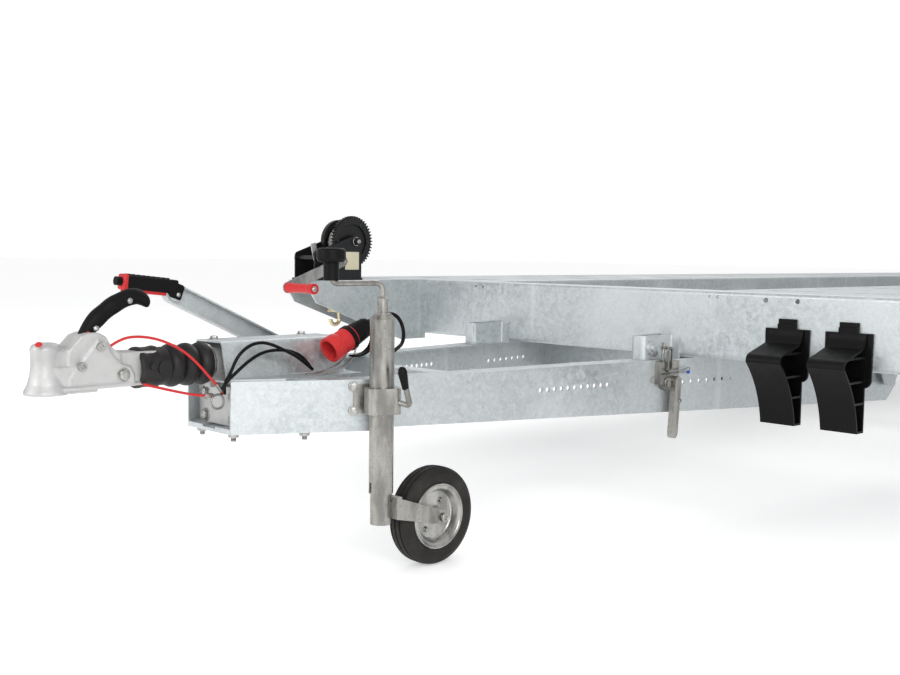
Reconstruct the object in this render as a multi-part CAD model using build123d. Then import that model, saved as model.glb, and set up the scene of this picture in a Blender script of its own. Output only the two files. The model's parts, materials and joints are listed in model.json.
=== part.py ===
from build123d import *
from math import atan2, cos, pi, radians, sin
import os

# Car hauler trailer with a tilting bed, hitch towards +X, left side towards +Y, floor at Z = 0.
# All sizes are millimetres. Stations are distances from the front face of the bed's front beam,
# forwards positive.

# Overall
BED_LENGTH = 4500.0
BED_WIDTH = 1880.0
DECK_HEIGHT = 551.0
COUPLING_REACH = 1490.0
LAMP_DEPTH = 55.0

# Beams round the bed
BEAM_HEIGHT = 162.0
BEAM_FLANGE = 60.0
BEAM_WALL = 5.0
BEAM_CORNER = 10.0
BEAM_BOTTOM = DECK_HEIGHT - BEAM_HEIGHT

# Holes in the front beam, by their sides
SMALL_HOLE_SIDES = (-372.0, -344.0, 403.0, 425.0)
SMALL_HOLE_DROP = 14.0
SMALL_HOLE_RADIUS = 3.5
ACCESSORY_HOLE_SIDES = (551.0, 630.0)
ACCESSORY_HOLE_DROP = 17.0
ACCESSORY_HOLE_RADIUS = 6.0

# Cross members that carry the runways
MEMBER_HEIGHT = 80.0
MEMBER_FLANGE = 45.0
MEMBER_WALL = 4.0
MEMBER_CORNER = 7.0
RUNWAY_DEPTH = 50.0
RUNWAY_WALL = 3.0
RUNWAY_INNER_EDGE = 400.0
RUNWAY_CORNER = 6.0
RUNWAY_END_GAP = 4.0
SLOT_LENGTH = 150.0
SLOT_WIDTH = 34.0
SLOT_COUNT = 18
SLOT_SIDE_MARGIN = 50.0
MEMBER_TOP = DECK_HEIGHT - RUNWAY_DEPTH
MEMBER_BOTTOM = MEMBER_TOP - MEMBER_HEIGHT

# Road wheels and axles
TYRE_RADIUS = 234.0
TYRE_WIDTH = 195.0
TYRE_BEAM_GAP = 12.0
RIM_SEAT_RADIUS = 127.0
RIM_WIDTH = 152.0
RIM_WALL = 3.0
RIM_FLANGE = 12.0
RIM_DISC_WALL = 5.0
HAND_HOLE_RADIUS = 13.0
HAND_HOLE_COUNT = 8
STUD_CIRCLE_RADIUS = 56.0
STUD_RADIUS = 9.0
STUD_COUNT = 5
TRACK = BED_WIDTH - 2 * (BEAM_FLANGE + TYRE_BEAM_GAP) - TYRE_WIDTH
AXLE_SPREAD = 650.0
AXLE_STATION = -2500.0
DRUM_RADIUS = 105.0
DRUM_WIDTH = 62.0
HUB_RADIUS = 36.0
HUB_CAP_RADIUS = 30.0
STUB_RADIUS = 20.0
STUB_END = 10.0
RUNNING_FIT = 0.05
BACKPLATE_WALL = 4.0
SIDE_CLEARANCE = 6.0
ARM_LENGTH = 140.0
ARM_RISE = 60.0
ARM_WALL = 22.0
ARM_EYE_RADIUS = 42.0
AXLE_TUBE = 80.0
AXLE_TUBE_CORNER = 10.0
AXLE_TOP = TYRE_RADIUS + ARM_RISE + AXLE_TUBE / 2
CARRIER_HEIGHT = MEMBER_BOTTOM - AXLE_TOP
CARRIER_FLANGE = 50.0
CARRIER_WALL = 5.0
CARRIER_INSET = 85.0
CARRIER_LENGTH = 2000.0

# Guards over the tyres
GUARD_GAP = 24.0
GUARD_WALL = 4.0
GUARD_SIDE = 9.0
GUARD_WIDTH = TYRE_WIDTH + 2 * GUARD_SIDE
GUARD_END_ANGLE = 18.0
GUARD_POST = 30.0

# Drawbar
DRAWBAR_TOP = 383.0
DRAWBAR_FRONT_HEIGHT = 96.0
DRAWBAR_REAR_HEIGHT = 165.0
DRAWBAR_FLANGE = 55.0
DRAWBAR_WALL = 4.0
DRAWBAR_FRONT_STATION = 1125.0
DRAWBAR_KNEE_STATION = 864.0
DRAWBAR_REAR_STATION = -940.0
DRAWBAR_FRONT_HALF = 77.0
DRAWBAR_KNEE_HALF = 215.0
DRAWBAR_REAR_HALF = 452.0
DRAWBAR_CHAMFER = 45.0
PIVOT_STATION = -880.0
PIVOT_DROP = 75.0
PIVOT_RADIUS = 14.0
PIVOT_BOSS_RADIUS = 24.0
PIVOT_BOSS_LENGTH = 60.0
PIVOT_FIT = 0.08
HANGER_WALL = 8.0
HANGER_WIDTH = 90.0
HANGER_GAP = 12.0

# Rows of holes in the drawbar's webs: the hole furthest forward, how many, pitch, drop
FRONT_ROW_STATION = 452.0
FRONT_ROW_COUNT = 11
FRONT_ROW_PITCH = 20.4
FRONT_ROW_DROP = 49.0
REAR_ROW_STATION = -10.0
REAR_ROW_COUNT = 7
REAR_ROW_PITCH = 29.2
REAR_ROW_DROP = 58.0
HOLE_ROW_RADIUS = 5.5

# Feet of the bed on the drawbar
FOOT_REACH = 117.0
FOOT_WIDTH = 40.0
FOOT_HEIGHT = 57.0
FOOT_WALL = 6.0
FOOT_FLANGE = 25.0
FOOT_BEND = 8.0
FOOT_OUTER_SIDE = 302.0
FOOT_PIN_INSET = 25.0
FOOT_PIN_RADIUS = 8.0
FOOT_WASHER_RADIUS = 15.0
REST_GAP = 0.3

# Latch between the left rail and its foot
LATCH_STATION = 54.0
LATCH_LENGTH = 78.0
LATCH_HEIGHT = 70.0
LATCH_DEPTH = 12.0
LATCH_EYE_RADIUS = 17.0
LATCH_LEVER_LENGTH = 150.0
LATCH_LEVER_WIDTH = 24.0
LATCH_LEVER_DEPTH = 14.0
LATCH_LEVER_LEAN = 5.0
LATCH_LOOP_LENGTH = 62.0
LATCH_LOOP_WIDTH = 22.0
LATCH_LOOP_WIRE = 5.0

# Overrun device, coupling and bellows
COUPLING_AXIS_HEIGHT = 414.0
COUPLING_TUBE_RADIUS = 25.0
COUPLING_BALL_RADIUS = 25.0
BALL_CLEARANCE = 0.3
BALL_STATION = 1451.0
BALL_HEIGHT = 420.0
BELLOWS_FRONT_STATION = 1259.0
BELLOWS_REAR_STATION = 1128.0
BELLOWS_CREST_RADIUS = 41.0
BELLOWS_ROOT_RADIUS = 31.0
BELLOWS_COLLAR_LENGTH = 34.0
BELLOWS_COLLAR_RADIUS = 36.0
BELLOWS_BUTTON_RADIUS = 14.0
BELLOWS_BUTTON_RISE = 6.0
BELLOWS_FOLDS = 3
HOUSING_RADIUS = 30.0
COVER_FRONT_STATION = 1125.0
COVER_REAR_STATION = 836.0
COVER_HALF_WIDTH = 62.0
COVER_TOP_HALF_WIDTH = 45.0
COVER_HEIGHT = 74.0
COVER_WALL = 3.0
COVER_BEND = 7.0
COVER_FLANGE = 55.0
COVER_INSET = 12.0
COVER_CORNER = 12.0
TIE_PLATE_WALL = 6.0

# Handbrake
BRAKE_PIVOT_STATION = 880.0
BRAKE_PIVOT_SIDE = -84.0
BRAKE_PIVOT_HEIGHT = 420.0
BRAKE_LEVER_LENGTH = 300.0
BRAKE_LEVER_ANGLE = 24.8
BRAKE_LEVER_HEIGHT = 40.0
BRAKE_LEVER_WIDTH = 20.0
BRAKE_GRIP_LENGTH = 114.0
BRAKE_GRIP_HEIGHT = 27.0
BRAKE_GRIP_WIDTH = 28.0
BRAKE_GRIP_ANGLE = 6.0
BRAKE_PIN_RADIUS = 8.0

# Jockey wheel
JOCKEY_STATION = 889.0
JOCKEY_TUBE_RADIUS = 24.0
JOCKEY_TUBE_WALL = 2.5
JOCKEY_TUBE_BOTTOM = 164.0
JOCKEY_TUBE_TOP = 511.0
JOCKEY_INNER_RADIUS = 21.0
JOCKEY_INNER_BOTTOM = 103.0
JOCKEY_INNER_LENGTH = 280.0
JOCKEY_WHEEL_RADIUS = 100.0
JOCKEY_WHEEL_WIDTH = 50.0
JOCKEY_RIM_RADIUS = 65.0
JOCKEY_TRAIL = 137.0
JOCKEY_FORK_WALL = 5.0
JOCKEY_FORK_HEIGHT = 43.0
JOCKEY_AXLE_RADIUS = 7.0
JOCKEY_NUT_HEIGHT = 30.0
JOCKEY_STANDOFF = 14.0
CRANK_ROD_RADIUS = 5.5
CRANK_BEND = 16.0
CRANK_RISE = 26.0
CRANK_REACH = 126.0
CRANK_KNOB_RADIUS = 27.0
CRANK_STEM_RADIUS = 14.5
CRANK_STEM_HEIGHT = 34.0
CRANK_KNOB_HEIGHT = 60.0

# Winch and its arm
ARM_REACH = 430.0
ARM_WIDTH = 104.0
ARM_PLATE = 5.0
ARM_ROOT_HEIGHT = 176.0
ARM_ROOT_LENGTH = 96.0
ARM_TIP_HEIGHT = 35.0
ARM_TIP_CUT_LENGTH = 19.0
ARM_TIP_CUT_HEIGHT = 27.0
ARM_CENTRE = -635.0
WINCH_STATION = 266.0
WINCH_AXIS_RISE = 109.0
GEAR_TEETH = 48
PINION_TEETH = 12
GEAR_MODULE = 2.9
GEAR_FACE = 12.0
GEAR_INSET = 15.0
GEAR_BACKLASH = 0.5
WINCH_PLATE = 4.0
WINCH_FOOT = 6.0
WINCH_WIDTH = 92.0
WINCH_BASE_LENGTH = 167.0
DRUM_SHAFT_RADIUS = 9.0
STRAP_WIDTH = 46.0
STRAP_ROLL_RADIUS = 44.0
WINCH_CRANK_LENGTH = 200.0
WINCH_GRIP_LENGTH = 113.0
WINCH_GRIP_RADIUS = 14.0

# Hook of the strap, hanging inside the arm
HOOK_STATION = 305.0
HOOK_WIRE_RADIUS = 6.0
HOOK_BEND_RADIUS = 16.0
HOOK_LENGTH = 42.0
HOOK_BOTTOM = 417.0
STRAP_TAIL_WALL = 4.0

# Wheel chocks on the front beam
CHOCK_SIDES = (610.0, 755.0)
CHOCK_WIDTH = 83.0
CHOCK_TOP = 472.0
CHOCK_LENGTH = 213.0
CHOCK_SHOULDER_REACH = 20.0
CHOCK_SHOULDER_DROP = 32.0
CHOCK_HEAD_REACH = 89.0
CHOCK_HEAD_DROP = 52.0
CHOCK_NOSE_REACH = 103.0
CHOCK_NOSE_DROP = 72.0
CHOCK_TOE = 31.0
CHOCK_HOLLOW = 15.0
CHOCK_WALL = 4.5
CHOCK_WEB = 4.0
CHOCK_RIB_SHARES = (0.3, 0.52, 0.76)
HOLDER_WALL = 6.0
HOLDER_WIDTH = 107.0
HOLDER_BOTTOM = 354.0
HOLDER_CORNER = 18.0
CLIP_WIDTH = 43.0
CLIP_HEIGHT = 22.0
CLIP_DEPTH = 10.0

# Ramps stowed under the deck
RAMP_LENGTH = 1900.0
RAMP_WIDTH = 270.0
RAMP_HEIGHT = 40.0
RAMP_CENTRE = 300.0
RAMP_RAIL = 25.0
RAMP_RAIL_WALL = 3.0
RAMP_RUNGS = 9
RAMP_TOP_GAP = 6.0
GUIDE_WALL = 4.0
GUIDE_GAP = 6.0

# Lamps and plate at the rear
LAMP_LENGTH = 230.0
LAMP_HEIGHT = 120.0
LAMP_CENTRE = 780.0
PLATE_LENGTH = 520.0
PLATE_HEIGHT = 112.0
PLATE_WALL = 2.0

OVERRUN = 20.0

# Stations turned into X
BED_FRONT = (BED_LENGTH + LAMP_DEPTH - COUPLING_REACH) / 2


def at(station):
    """X of a station ahead of the bed's front face."""
    return BED_FRONT + station


def block(x0, x1, y0, y1, z0, z1):
    """A box between two corners, given in any order."""
    size = (abs(x1 - x0), abs(y1 - y0), abs(z1 - z0))
    return Pos((x0 + x1) / 2, (y0 + y1) / 2, (z0 + z1) / 2) * Box(*size)


def rod(start, end, radius):
    """A round bar from one point to another."""
    run = Vector(*end) - Vector(*start)
    return extrude(Plane(start, z_dir=run) * Circle(radius), amount=run.length)


def across(x, y0, y1, z, radius):
    """A round bar across the trailer."""
    return rod((x, min(y0, y1), z), (x, max(y0, y1), z), radius)


def channel(corner, run, inward, length, height, flange, wall, radius):
    """A C section: its web's outer face starts at the corner, its flanges point inward."""
    outer = Pos(flange / 2, height / 2) * Rectangle(flange, height)
    outer = fillet(outer.vertices().group_by(Axis.X)[0], radius)
    inner = Pos(wall + flange / 2, height / 2) * Rectangle(flange, height - 2 * wall)
    inner = fillet(inner.vertices().group_by(Axis.X)[0], radius - wall)
    return extrude(Plane(corner, x_dir=inward, z_dir=run) * (outer - inner), amount=length)


def side_outline(points, y0, y1):
    """A plate whose outline is given in X and Z, between two places across the trailer."""
    outline = make_face(Polyline(*points, close=True))
    plate = extrude(Plane((0, max(y0, y1), 0), x_dir=(1, 0, 0), z_dir=(0, -1, 0)) * outline,
                    amount=abs(y1 - y0))
    return plate


def plan_outline(points, z0, z1):
    """A slab whose outline is given in X and Y, between two heights."""
    return extrude(Plane((0, 0, z0)) * make_face(Polyline(*points, close=True)), amount=z1 - z0)


def bent_rod(points, bend, radius):
    """A round bar along straight runs with bends between them."""
    path = FilletPolyline(*points, radius=bend)
    return sweep(Plane(path @ 0, z_dir=path % 0) * Circle(radius), path=path)


def upright(side):
    """The drawing plane of side outlines: X forwards and Z up, extruded to the right."""
    return Plane((0, side, 0), x_dir=(1, 0, 0), z_dir=(0, -1, 0))


def all_of(shapes):
    """Shapes joined into one."""
    first, *others = shapes
    for other in others:
        first = first + other
    return first


def turned(points, centre):
    """A solid of revolution about a line across the trailer; points are (radius, side)."""
    outline = make_face(Polyline(*points, close=True))
    spun = revolve(Plane((0, 0, 0), x_dir=(1, 0, 0), z_dir=(0, 0, 1)) * outline, Axis.Y)
    return Pos(*centre) * spun


def mirrored(shape):
    """The same piece on the other side of the trailer."""
    return mirror(shape, about=Plane.XZ)


# Bed frame

def hole_through_beam(side, drop, radius):
    height = DECK_HEIGHT - drop
    return rod((at(OVERRUN), side, height), (at(-BEAM_WALL - OVERRUN), side, height), radius)


def beam_ends(front, rear):
    """Plates that close the ends of a cross beam."""
    plates = []
    for side in (-1, 1):
        edge = side * BED_WIDTH / 2
        plates.append(block(front, rear, edge, edge - side * BEAM_WALL,
                            BEAM_BOTTOM + BEAM_WALL, DECK_HEIGHT - BEAM_WALL))
    return plates


def front_beam():
    beam = channel((at(0), -BED_WIDTH / 2, BEAM_BOTTOM), (0, 1, 0), (-1, 0, 0), BED_WIDTH,
                   BEAM_HEIGHT, BEAM_FLANGE, BEAM_WALL, BEAM_CORNER)
    for plate in beam_ends(at(-BEAM_WALL), at(-BEAM_FLANGE)):
        beam += plate
    for side in SMALL_HOLE_SIDES:
        beam -= hole_through_beam(side, SMALL_HOLE_DROP, SMALL_HOLE_RADIUS)
    for side in ACCESSORY_HOLE_SIDES:
        beam -= hole_through_beam(side, ACCESSORY_HOLE_DROP, ACCESSORY_HOLE_RADIUS)
    return beam


SIDE_BEAM_LENGTH = BED_LENGTH - 2 * BEAM_FLANGE


def side_beam():
    return channel((at(-BEAM_FLANGE), BED_WIDTH / 2, BEAM_BOTTOM), (-1, 0, 0), (0, -1, 0),
                   SIDE_BEAM_LENGTH, BEAM_HEIGHT, BEAM_FLANGE, BEAM_WALL, BEAM_CORNER)


def rear_beam():
    beam = channel((at(-BED_LENGTH), BED_WIDTH / 2, BEAM_BOTTOM), (0, -1, 0), (1, 0, 0),
                   BED_WIDTH, BEAM_HEIGHT, BEAM_FLANGE, BEAM_WALL, BEAM_CORNER)
    for plate in beam_ends(at(-BED_LENGTH + BEAM_WALL), at(-BED_LENGTH + BEAM_FLANGE)):
        beam += plate
    return beam


def between(start, end, share):
    return start + share * (end - start)


# Stations of the cross members' front faces: the free ones lie between what bounds them
GUARD_REACH = AXLE_SPREAD / 2 + TYRE_RADIUS + GUARD_GAP + GUARD_WALL
FIRST_MEMBER_SHARE = 0.55
THIRD_MEMBER_SHARE = 0.7
FIFTH_MEMBER_SHARE = 0.16
LAST_MEMBER_SHARE = 0.6
PIVOT_MEMBER = PIVOT_STATION + MEMBER_FLANGE / 2
AXLE_MEMBER = AXLE_STATION + MEMBER_FLANGE / 2
LAST_MEMBER = between(AXLE_STATION - GUARD_REACH, -BED_LENGTH, LAST_MEMBER_SHARE)
MEMBER_STATIONS = (between(0, PIVOT_STATION, FIRST_MEMBER_SHARE), PIVOT_MEMBER,
                   between(PIVOT_STATION, AXLE_STATION + GUARD_REACH, THIRD_MEMBER_SHARE),
                   AXLE_MEMBER, between(AXLE_STATION - GUARD_REACH, -BED_LENGTH,
                                        FIFTH_MEMBER_SHARE), LAST_MEMBER)
MEMBER_HALF = BED_WIDTH / 2 - BEAM_WALL


def cross_members():
    return [channel((at(station), -MEMBER_HALF, MEMBER_BOTTOM), (0, 1, 0), (-1, 0, 0),
                    2 * MEMBER_HALF, MEMBER_HEIGHT, MEMBER_FLANGE, MEMBER_WALL, MEMBER_CORNER)
            for station in MEMBER_STATIONS]


RUNWAY_OUTER_EDGE = BED_WIDTH / 2 - BEAM_FLANGE - RUNWAY_END_GAP
RUNWAY_LENGTH = BED_LENGTH - 2 * (BEAM_FLANGE + RUNWAY_END_GAP)


def runway():
    """A pressed plank: a flat top with its edges turned down, and two rows of slots."""
    width = RUNWAY_OUTER_EDGE - RUNWAY_INNER_EDGE
    outer = Pos(0, -RUNWAY_DEPTH / 2) * Rectangle(width, RUNWAY_DEPTH)
    outer = fillet(outer.vertices().group_by(Axis.Y)[1], RUNWAY_CORNER)
    inner = Pos(0, -RUNWAY_WALL - RUNWAY_DEPTH / 2) * Rectangle(width - 2 * RUNWAY_WALL,
                                                                RUNWAY_DEPTH)
    inner = fillet(inner.vertices().group_by(Axis.Y)[1], RUNWAY_CORNER - RUNWAY_WALL)
    middle = (RUNWAY_OUTER_EDGE + RUNWAY_INNER_EDGE) / 2
    start = Plane((at(-BEAM_FLANGE - RUNWAY_END_GAP), middle, DECK_HEIGHT), x_dir=(0, -1, 0),
                  z_dir=(-1, 0, 0))
    plank = extrude(start * (outer - inner), amount=RUNWAY_LENGTH)
    pitch = RUNWAY_LENGTH / SLOT_COUNT
    row = (width - 2 * SLOT_SIDE_MARGIN - SLOT_LENGTH) / 2
    slots = Sketch()
    for number in range(SLOT_COUNT):
        x = at(-BEAM_FLANGE - RUNWAY_END_GAP) - (number + 1 / 2) * pitch
        for side in (-row, row):
            slots += Pos(x, middle + side) * Rot(0, 0, 90) * SlotOverall(SLOT_LENGTH, SLOT_WIDTH)
    plank -= extrude(Plane((0, 0, DECK_HEIGHT + OVERRUN)) * slots,
                     amount=-RUNWAY_WALL - 2 * OVERRUN)
    return plank


# Drawbar

def drawbar_edge(station):
    """Half width over the drawbar's webs at a station."""
    if station > DRAWBAR_KNEE_STATION:
        share = (station - DRAWBAR_KNEE_STATION) / (DRAWBAR_FRONT_STATION - DRAWBAR_KNEE_STATION)
        return DRAWBAR_KNEE_HALF + share * (DRAWBAR_FRONT_HALF - DRAWBAR_KNEE_HALF)
    share = (station - DRAWBAR_REAR_STATION) / (DRAWBAR_KNEE_STATION - DRAWBAR_REAR_STATION)
    return DRAWBAR_REAR_HALF + share * (DRAWBAR_KNEE_HALF - DRAWBAR_REAR_HALF)


def drawbar_strip(inset, flange):
    """Plan outline of the drawbar's rail, from the web inset inwards by some distance."""
    stations = (DRAWBAR_FRONT_STATION, DRAWBAR_KNEE_STATION, DRAWBAR_REAR_STATION)
    outer = [(at(s), drawbar_edge(s) - inset) for s in stations]
    inner = [(at(s), drawbar_edge(s) - flange) for s in reversed(stations)]
    return outer + inner


def drawbar_side(inset):
    """Side outline of the drawbar's rail, inset from top and bottom."""
    front_bottom = DRAWBAR_TOP - DRAWBAR_FRONT_HEIGHT + inset
    rear_bottom = DRAWBAR_TOP - DRAWBAR_REAR_HEIGHT + inset
    return [(at(DRAWBAR_FRONT_STATION), DRAWBAR_TOP - inset),
            (at(DRAWBAR_FRONT_STATION), front_bottom),
            (at(DRAWBAR_KNEE_STATION), front_bottom),
            (at(DRAWBAR_REAR_STATION + DRAWBAR_CHAMFER), rear_bottom),
            (at(DRAWBAR_REAR_STATION), rear_bottom + DRAWBAR_CHAMFER),
            (at(DRAWBAR_REAR_STATION), DRAWBAR_TOP - inset)]


HOLE_ROWS = ((FRONT_ROW_STATION, FRONT_ROW_COUNT, FRONT_ROW_PITCH, FRONT_ROW_DROP),
             (REAR_ROW_STATION, REAR_ROW_COUNT, REAR_ROW_PITCH, REAR_ROW_DROP))
PIVOT_HEIGHT = DRAWBAR_TOP - PIVOT_DROP
PIVOT_WEB = drawbar_edge(PIVOT_STATION)


def drawbar_rail():
    low, high = DRAWBAR_TOP - DRAWBAR_REAR_HEIGHT, DRAWBAR_TOP
    outer = plan_outline(drawbar_strip(0, DRAWBAR_FLANGE), low, high)
    outer &= side_outline(drawbar_side(0), 0, BED_WIDTH)
    inner = plan_outline(drawbar_strip(DRAWBAR_WALL, DRAWBAR_FLANGE + OVERRUN), low, high)
    inner &= side_outline(drawbar_side(DRAWBAR_WALL), 0, BED_WIDTH)
    rail = outer - inner
    boss = across(at(PIVOT_STATION), PIVOT_WEB - PIVOT_BOSS_LENGTH, PIVOT_WEB, PIVOT_HEIGHT,
                  PIVOT_BOSS_RADIUS)
    rail += boss
    rail -= across(at(PIVOT_STATION), PIVOT_WEB - PIVOT_BOSS_LENGTH - OVERRUN,
                   PIVOT_WEB + OVERRUN, PIVOT_HEIGHT, PIVOT_RADIUS + PIVOT_FIT)
    for first, count, pitch, drop in HOLE_ROWS:
        for number in range(count):
            station = first - number * pitch
            web = drawbar_edge(station)
            rail -= across(at(station), web - OVERRUN, web + OVERRUN, DRAWBAR_TOP - drop,
                           HOLE_ROW_RADIUS)
    return rail


TIE_PLATE_LENGTH = DRAWBAR_FRONT_STATION - DRAWBAR_KNEE_STATION
TIE_TUBE = 50.0
TIE_END_WALL = 6.0
FRONT_TIE_STATION = 560.0
REAR_TIE_STATION = -300.0


def tie_plate():
    """The plate under the front ends of the rails."""
    back = DRAWBAR_FRONT_STATION - TIE_PLATE_LENGTH
    bottom = DRAWBAR_TOP - DRAWBAR_FRONT_HEIGHT
    half = drawbar_edge(back)
    return plan_outline([(at(DRAWBAR_FRONT_STATION), DRAWBAR_FRONT_HALF), (at(back), half),
                         (at(back), -half), (at(DRAWBAR_FRONT_STATION), -DRAWBAR_FRONT_HALF)],
                        bottom - TIE_PLATE_WALL, bottom)


def cross_tie(station):
    """A square tube between the rails, on an end plate in each rail's channel."""
    middle = DRAWBAR_TOP - DRAWBAR_FRONT_HEIGHT / 2
    reach = drawbar_edge(station) - DRAWBAR_WALL
    half = reach - TIE_TUBE
    tie = block(at(station), at(station - TIE_TUBE), -half, half, middle - TIE_TUBE / 2,
                middle + TIE_TUBE / 2)
    low = DRAWBAR_TOP - DRAWBAR_FRONT_HEIGHT + DRAWBAR_WALL
    for side in (-1, 1):
        tie += block(at(station), at(station - TIE_END_WALL), side * (half - TIE_TUBE),
                     side * reach, low, DRAWBAR_TOP - DRAWBAR_WALL)
    return tie


def drawbar_ties():
    return [tie_plate(), cross_tie(FRONT_TIE_STATION), cross_tie(REAR_TIE_STATION)]


def pivot_hangers():
    """Plates on the second cross member that hold the drawbar's pivot pins."""
    x = at(PIVOT_STATION)
    half = HANGER_WIDTH / 2
    low = PIVOT_HEIGHT - half
    plates = []
    for side in (-1, 1):
        y0 = side * (PIVOT_WEB + HANGER_GAP)
        y1 = y0 + side * HANGER_WALL
        plate = block(x - half, x + half, y0, y1, PIVOT_HEIGHT, MEMBER_BOTTOM)
        plate += across(x, y0, y1, PIVOT_HEIGHT, half)
        pin_inner = side * (PIVOT_WEB - PIVOT_BOSS_LENGTH)
        plate += across(x, pin_inner, y1 + side * HANGER_WALL, PIVOT_HEIGHT, PIVOT_RADIUS)
        plates.append(plate)
    return plates


def feet():
    """Hat-shaped brackets on the front beam that stand on the drawbar's top flanges."""
    low = DRAWBAR_TOP + REST_GAP
    outer = FOOT_OUTER_SIDE - FOOT_WALL / 2
    inner = FOOT_OUTER_SIDE - FOOT_WIDTH + FOOT_WALL / 2
    back, front = at(FOOT_WALL / 2), at(FOOT_REACH - FOOT_WALL / 2)
    middle = FilletPolyline((back, outer + FOOT_FLANGE), (back, outer), (front, outer),
                            (front, inner), (back, inner), (back, inner - FOOT_FLANGE),
                            radius=FOOT_BEND)
    foot = extrude(Plane((0, 0, low)) * trace(middle, FOOT_WALL), amount=FOOT_HEIGHT)
    foot += block(back, front, inner, outer, low, low + FOOT_WALL)
    pin = (at(FOOT_REACH - FOOT_PIN_INSET), low + FOOT_HEIGHT / 2)
    foot += across(pin[0], FOOT_OUTER_SIDE, FOOT_OUTER_SIDE + FOOT_WALL, pin[1],
                   FOOT_WASHER_RADIUS)
    foot += across(pin[0], FOOT_OUTER_SIDE, FOOT_OUTER_SIDE + FOOT_WALL + FOOT_PIN_RADIUS,
                   pin[1], FOOT_PIN_RADIUS)
    return [foot, mirrored(foot)]


def latch():
    """The over-centre latch on the left rail: plate, eye, hanging lever and oval loop."""
    web = drawbar_edge(LATCH_STATION)
    x, top = at(LATCH_STATION), DRAWBAR_TOP - DRAWBAR_WALL
    face = web + LATCH_DEPTH
    plate = block(x - LATCH_LENGTH / 2, x + LATCH_LENGTH / 2, web - OVERRUN, face,
                  top - LATCH_HEIGHT + LATCH_EYE_RADIUS, top)
    eye = (x + LATCH_EYE_RADIUS / 2, top - LATCH_HEIGHT + LATCH_EYE_RADIUS)
    plate += across(eye[0], web - OVERRUN, face, eye[1], LATCH_EYE_RADIUS)
    plate -= plan_outline(drawbar_strip(0, DRAWBAR_FLANGE), 0, DECK_HEIGHT)
    plate += across(eye[0], face, face + LATCH_LOOP_WIRE, eye[1], LATCH_EYE_RADIUS / 2)
    lever = Pos(0, -LATCH_LEVER_LENGTH / 2) * Rot(0, 0, 90) * SlotOverall(
        LATCH_LEVER_LENGTH, LATCH_LEVER_WIDTH)
    stand = Pos(x - LATCH_LENGTH / 4, eye[1] + LATCH_EYE_RADIUS) * Rot(0, 0, LATCH_LEVER_LEAN)
    outer = face + LATCH_LEVER_DEPTH
    bar = extrude(upright(outer) * stand * lever, amount=LATCH_LEVER_DEPTH)
    bar -= extrude(upright(outer - DRAWBAR_WALL) * stand * offset(lever, -DRAWBAR_WALL),
                   amount=LATCH_LEVER_DEPTH)
    loop = SlotOverall(LATCH_LOOP_LENGTH, LATCH_LOOP_WIDTH)
    loop -= SlotOverall(LATCH_LOOP_LENGTH - 2 * LATCH_LOOP_WIRE,
                        LATCH_LOOP_WIDTH - 2 * LATCH_LOOP_WIRE)
    place = Pos(x + LATCH_LOOP_WIRE, top + LATCH_LOOP_WIRE) * Rot(0, 0, 90)
    ring = extrude(upright(face + LATCH_LOOP_WIRE) * place * loop, amount=LATCH_LOOP_WIRE)
    return plate + bar + ring


# Axles, arms and road wheels

def axle_beam(station):
    """A square torsion tube with its two mounting pads."""
    x = at(station + ARM_LENGTH)
    z = TYRE_RADIUS + ARM_RISE
    section = RectangleRounded(AXLE_TUBE, AXLE_TUBE, AXLE_TUBE_CORNER)
    tube = extrude(Plane((x, -TUBE_HALF, z), x_dir=(1, 0, 0), z_dir=(0, 1, 0)) * section,
                   amount=2 * TUBE_HALF)
    for side in (-1, 1):
        y = side * CARRIER_CENTRE
        tube += block(x - PAD_LENGTH / 2, x + PAD_LENGTH / 2, y - CARRIER_FLANGE / 2,
                      y + CARRIER_FLANGE / 2, z + AXLE_TUBE / 2 - PAD_WALL,
                      AXLE_TOP)
    return tube


ARM_OUTER_FACE = TRACK / 2 - TYRE_WIDTH / 2 - SIDE_CLEARANCE
BACKPLATE_FACE = TRACK / 2 - DRUM_WIDTH - SIDE_CLEARANCE
TUBE_HALF = ARM_OUTER_FACE - ARM_WALL
PAD_LENGTH = 130.0
PAD_WALL = 8.0


def axle_arms(station):
    """Trailing arms with brake plates and stub axles, left and right."""
    arms = []
    x, z = at(station), TYRE_RADIUS
    tube_x, tube_z = at(station + ARM_LENGTH), TYRE_RADIUS + ARM_RISE
    angle = atan2(ARM_RISE, ARM_LENGTH)
    dx, dz = sin(angle) * ARM_EYE_RADIUS, cos(angle) * ARM_EYE_RADIUS
    for side in (-1, 1):
        y0, y1 = side * TUBE_HALF, side * ARM_OUTER_FACE
        face = side * BACKPLATE_FACE
        arm = across(x, y0, face, z, ARM_EYE_RADIUS)
        arm += across(tube_x, y0, y1, tube_z, ARM_EYE_RADIUS)
        arm += side_outline([(x - dx, z + dz), (x + dx, z - dz), (tube_x + dx, tube_z - dz),
                             (tube_x - dx, tube_z + dz)], y0, y1)
        arm += across(x, face - side * BACKPLATE_WALL, face, z, DRUM_RADIUS)
        arm += across(x, y0, side * STUB_TIP, z, STUB_RADIUS)
        arms.append(arm)
    return arms


STUB_TIP = TRACK / 2 + STUB_END
CARRIER_CENTRE = TUBE_HALF - CARRIER_INSET


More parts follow.
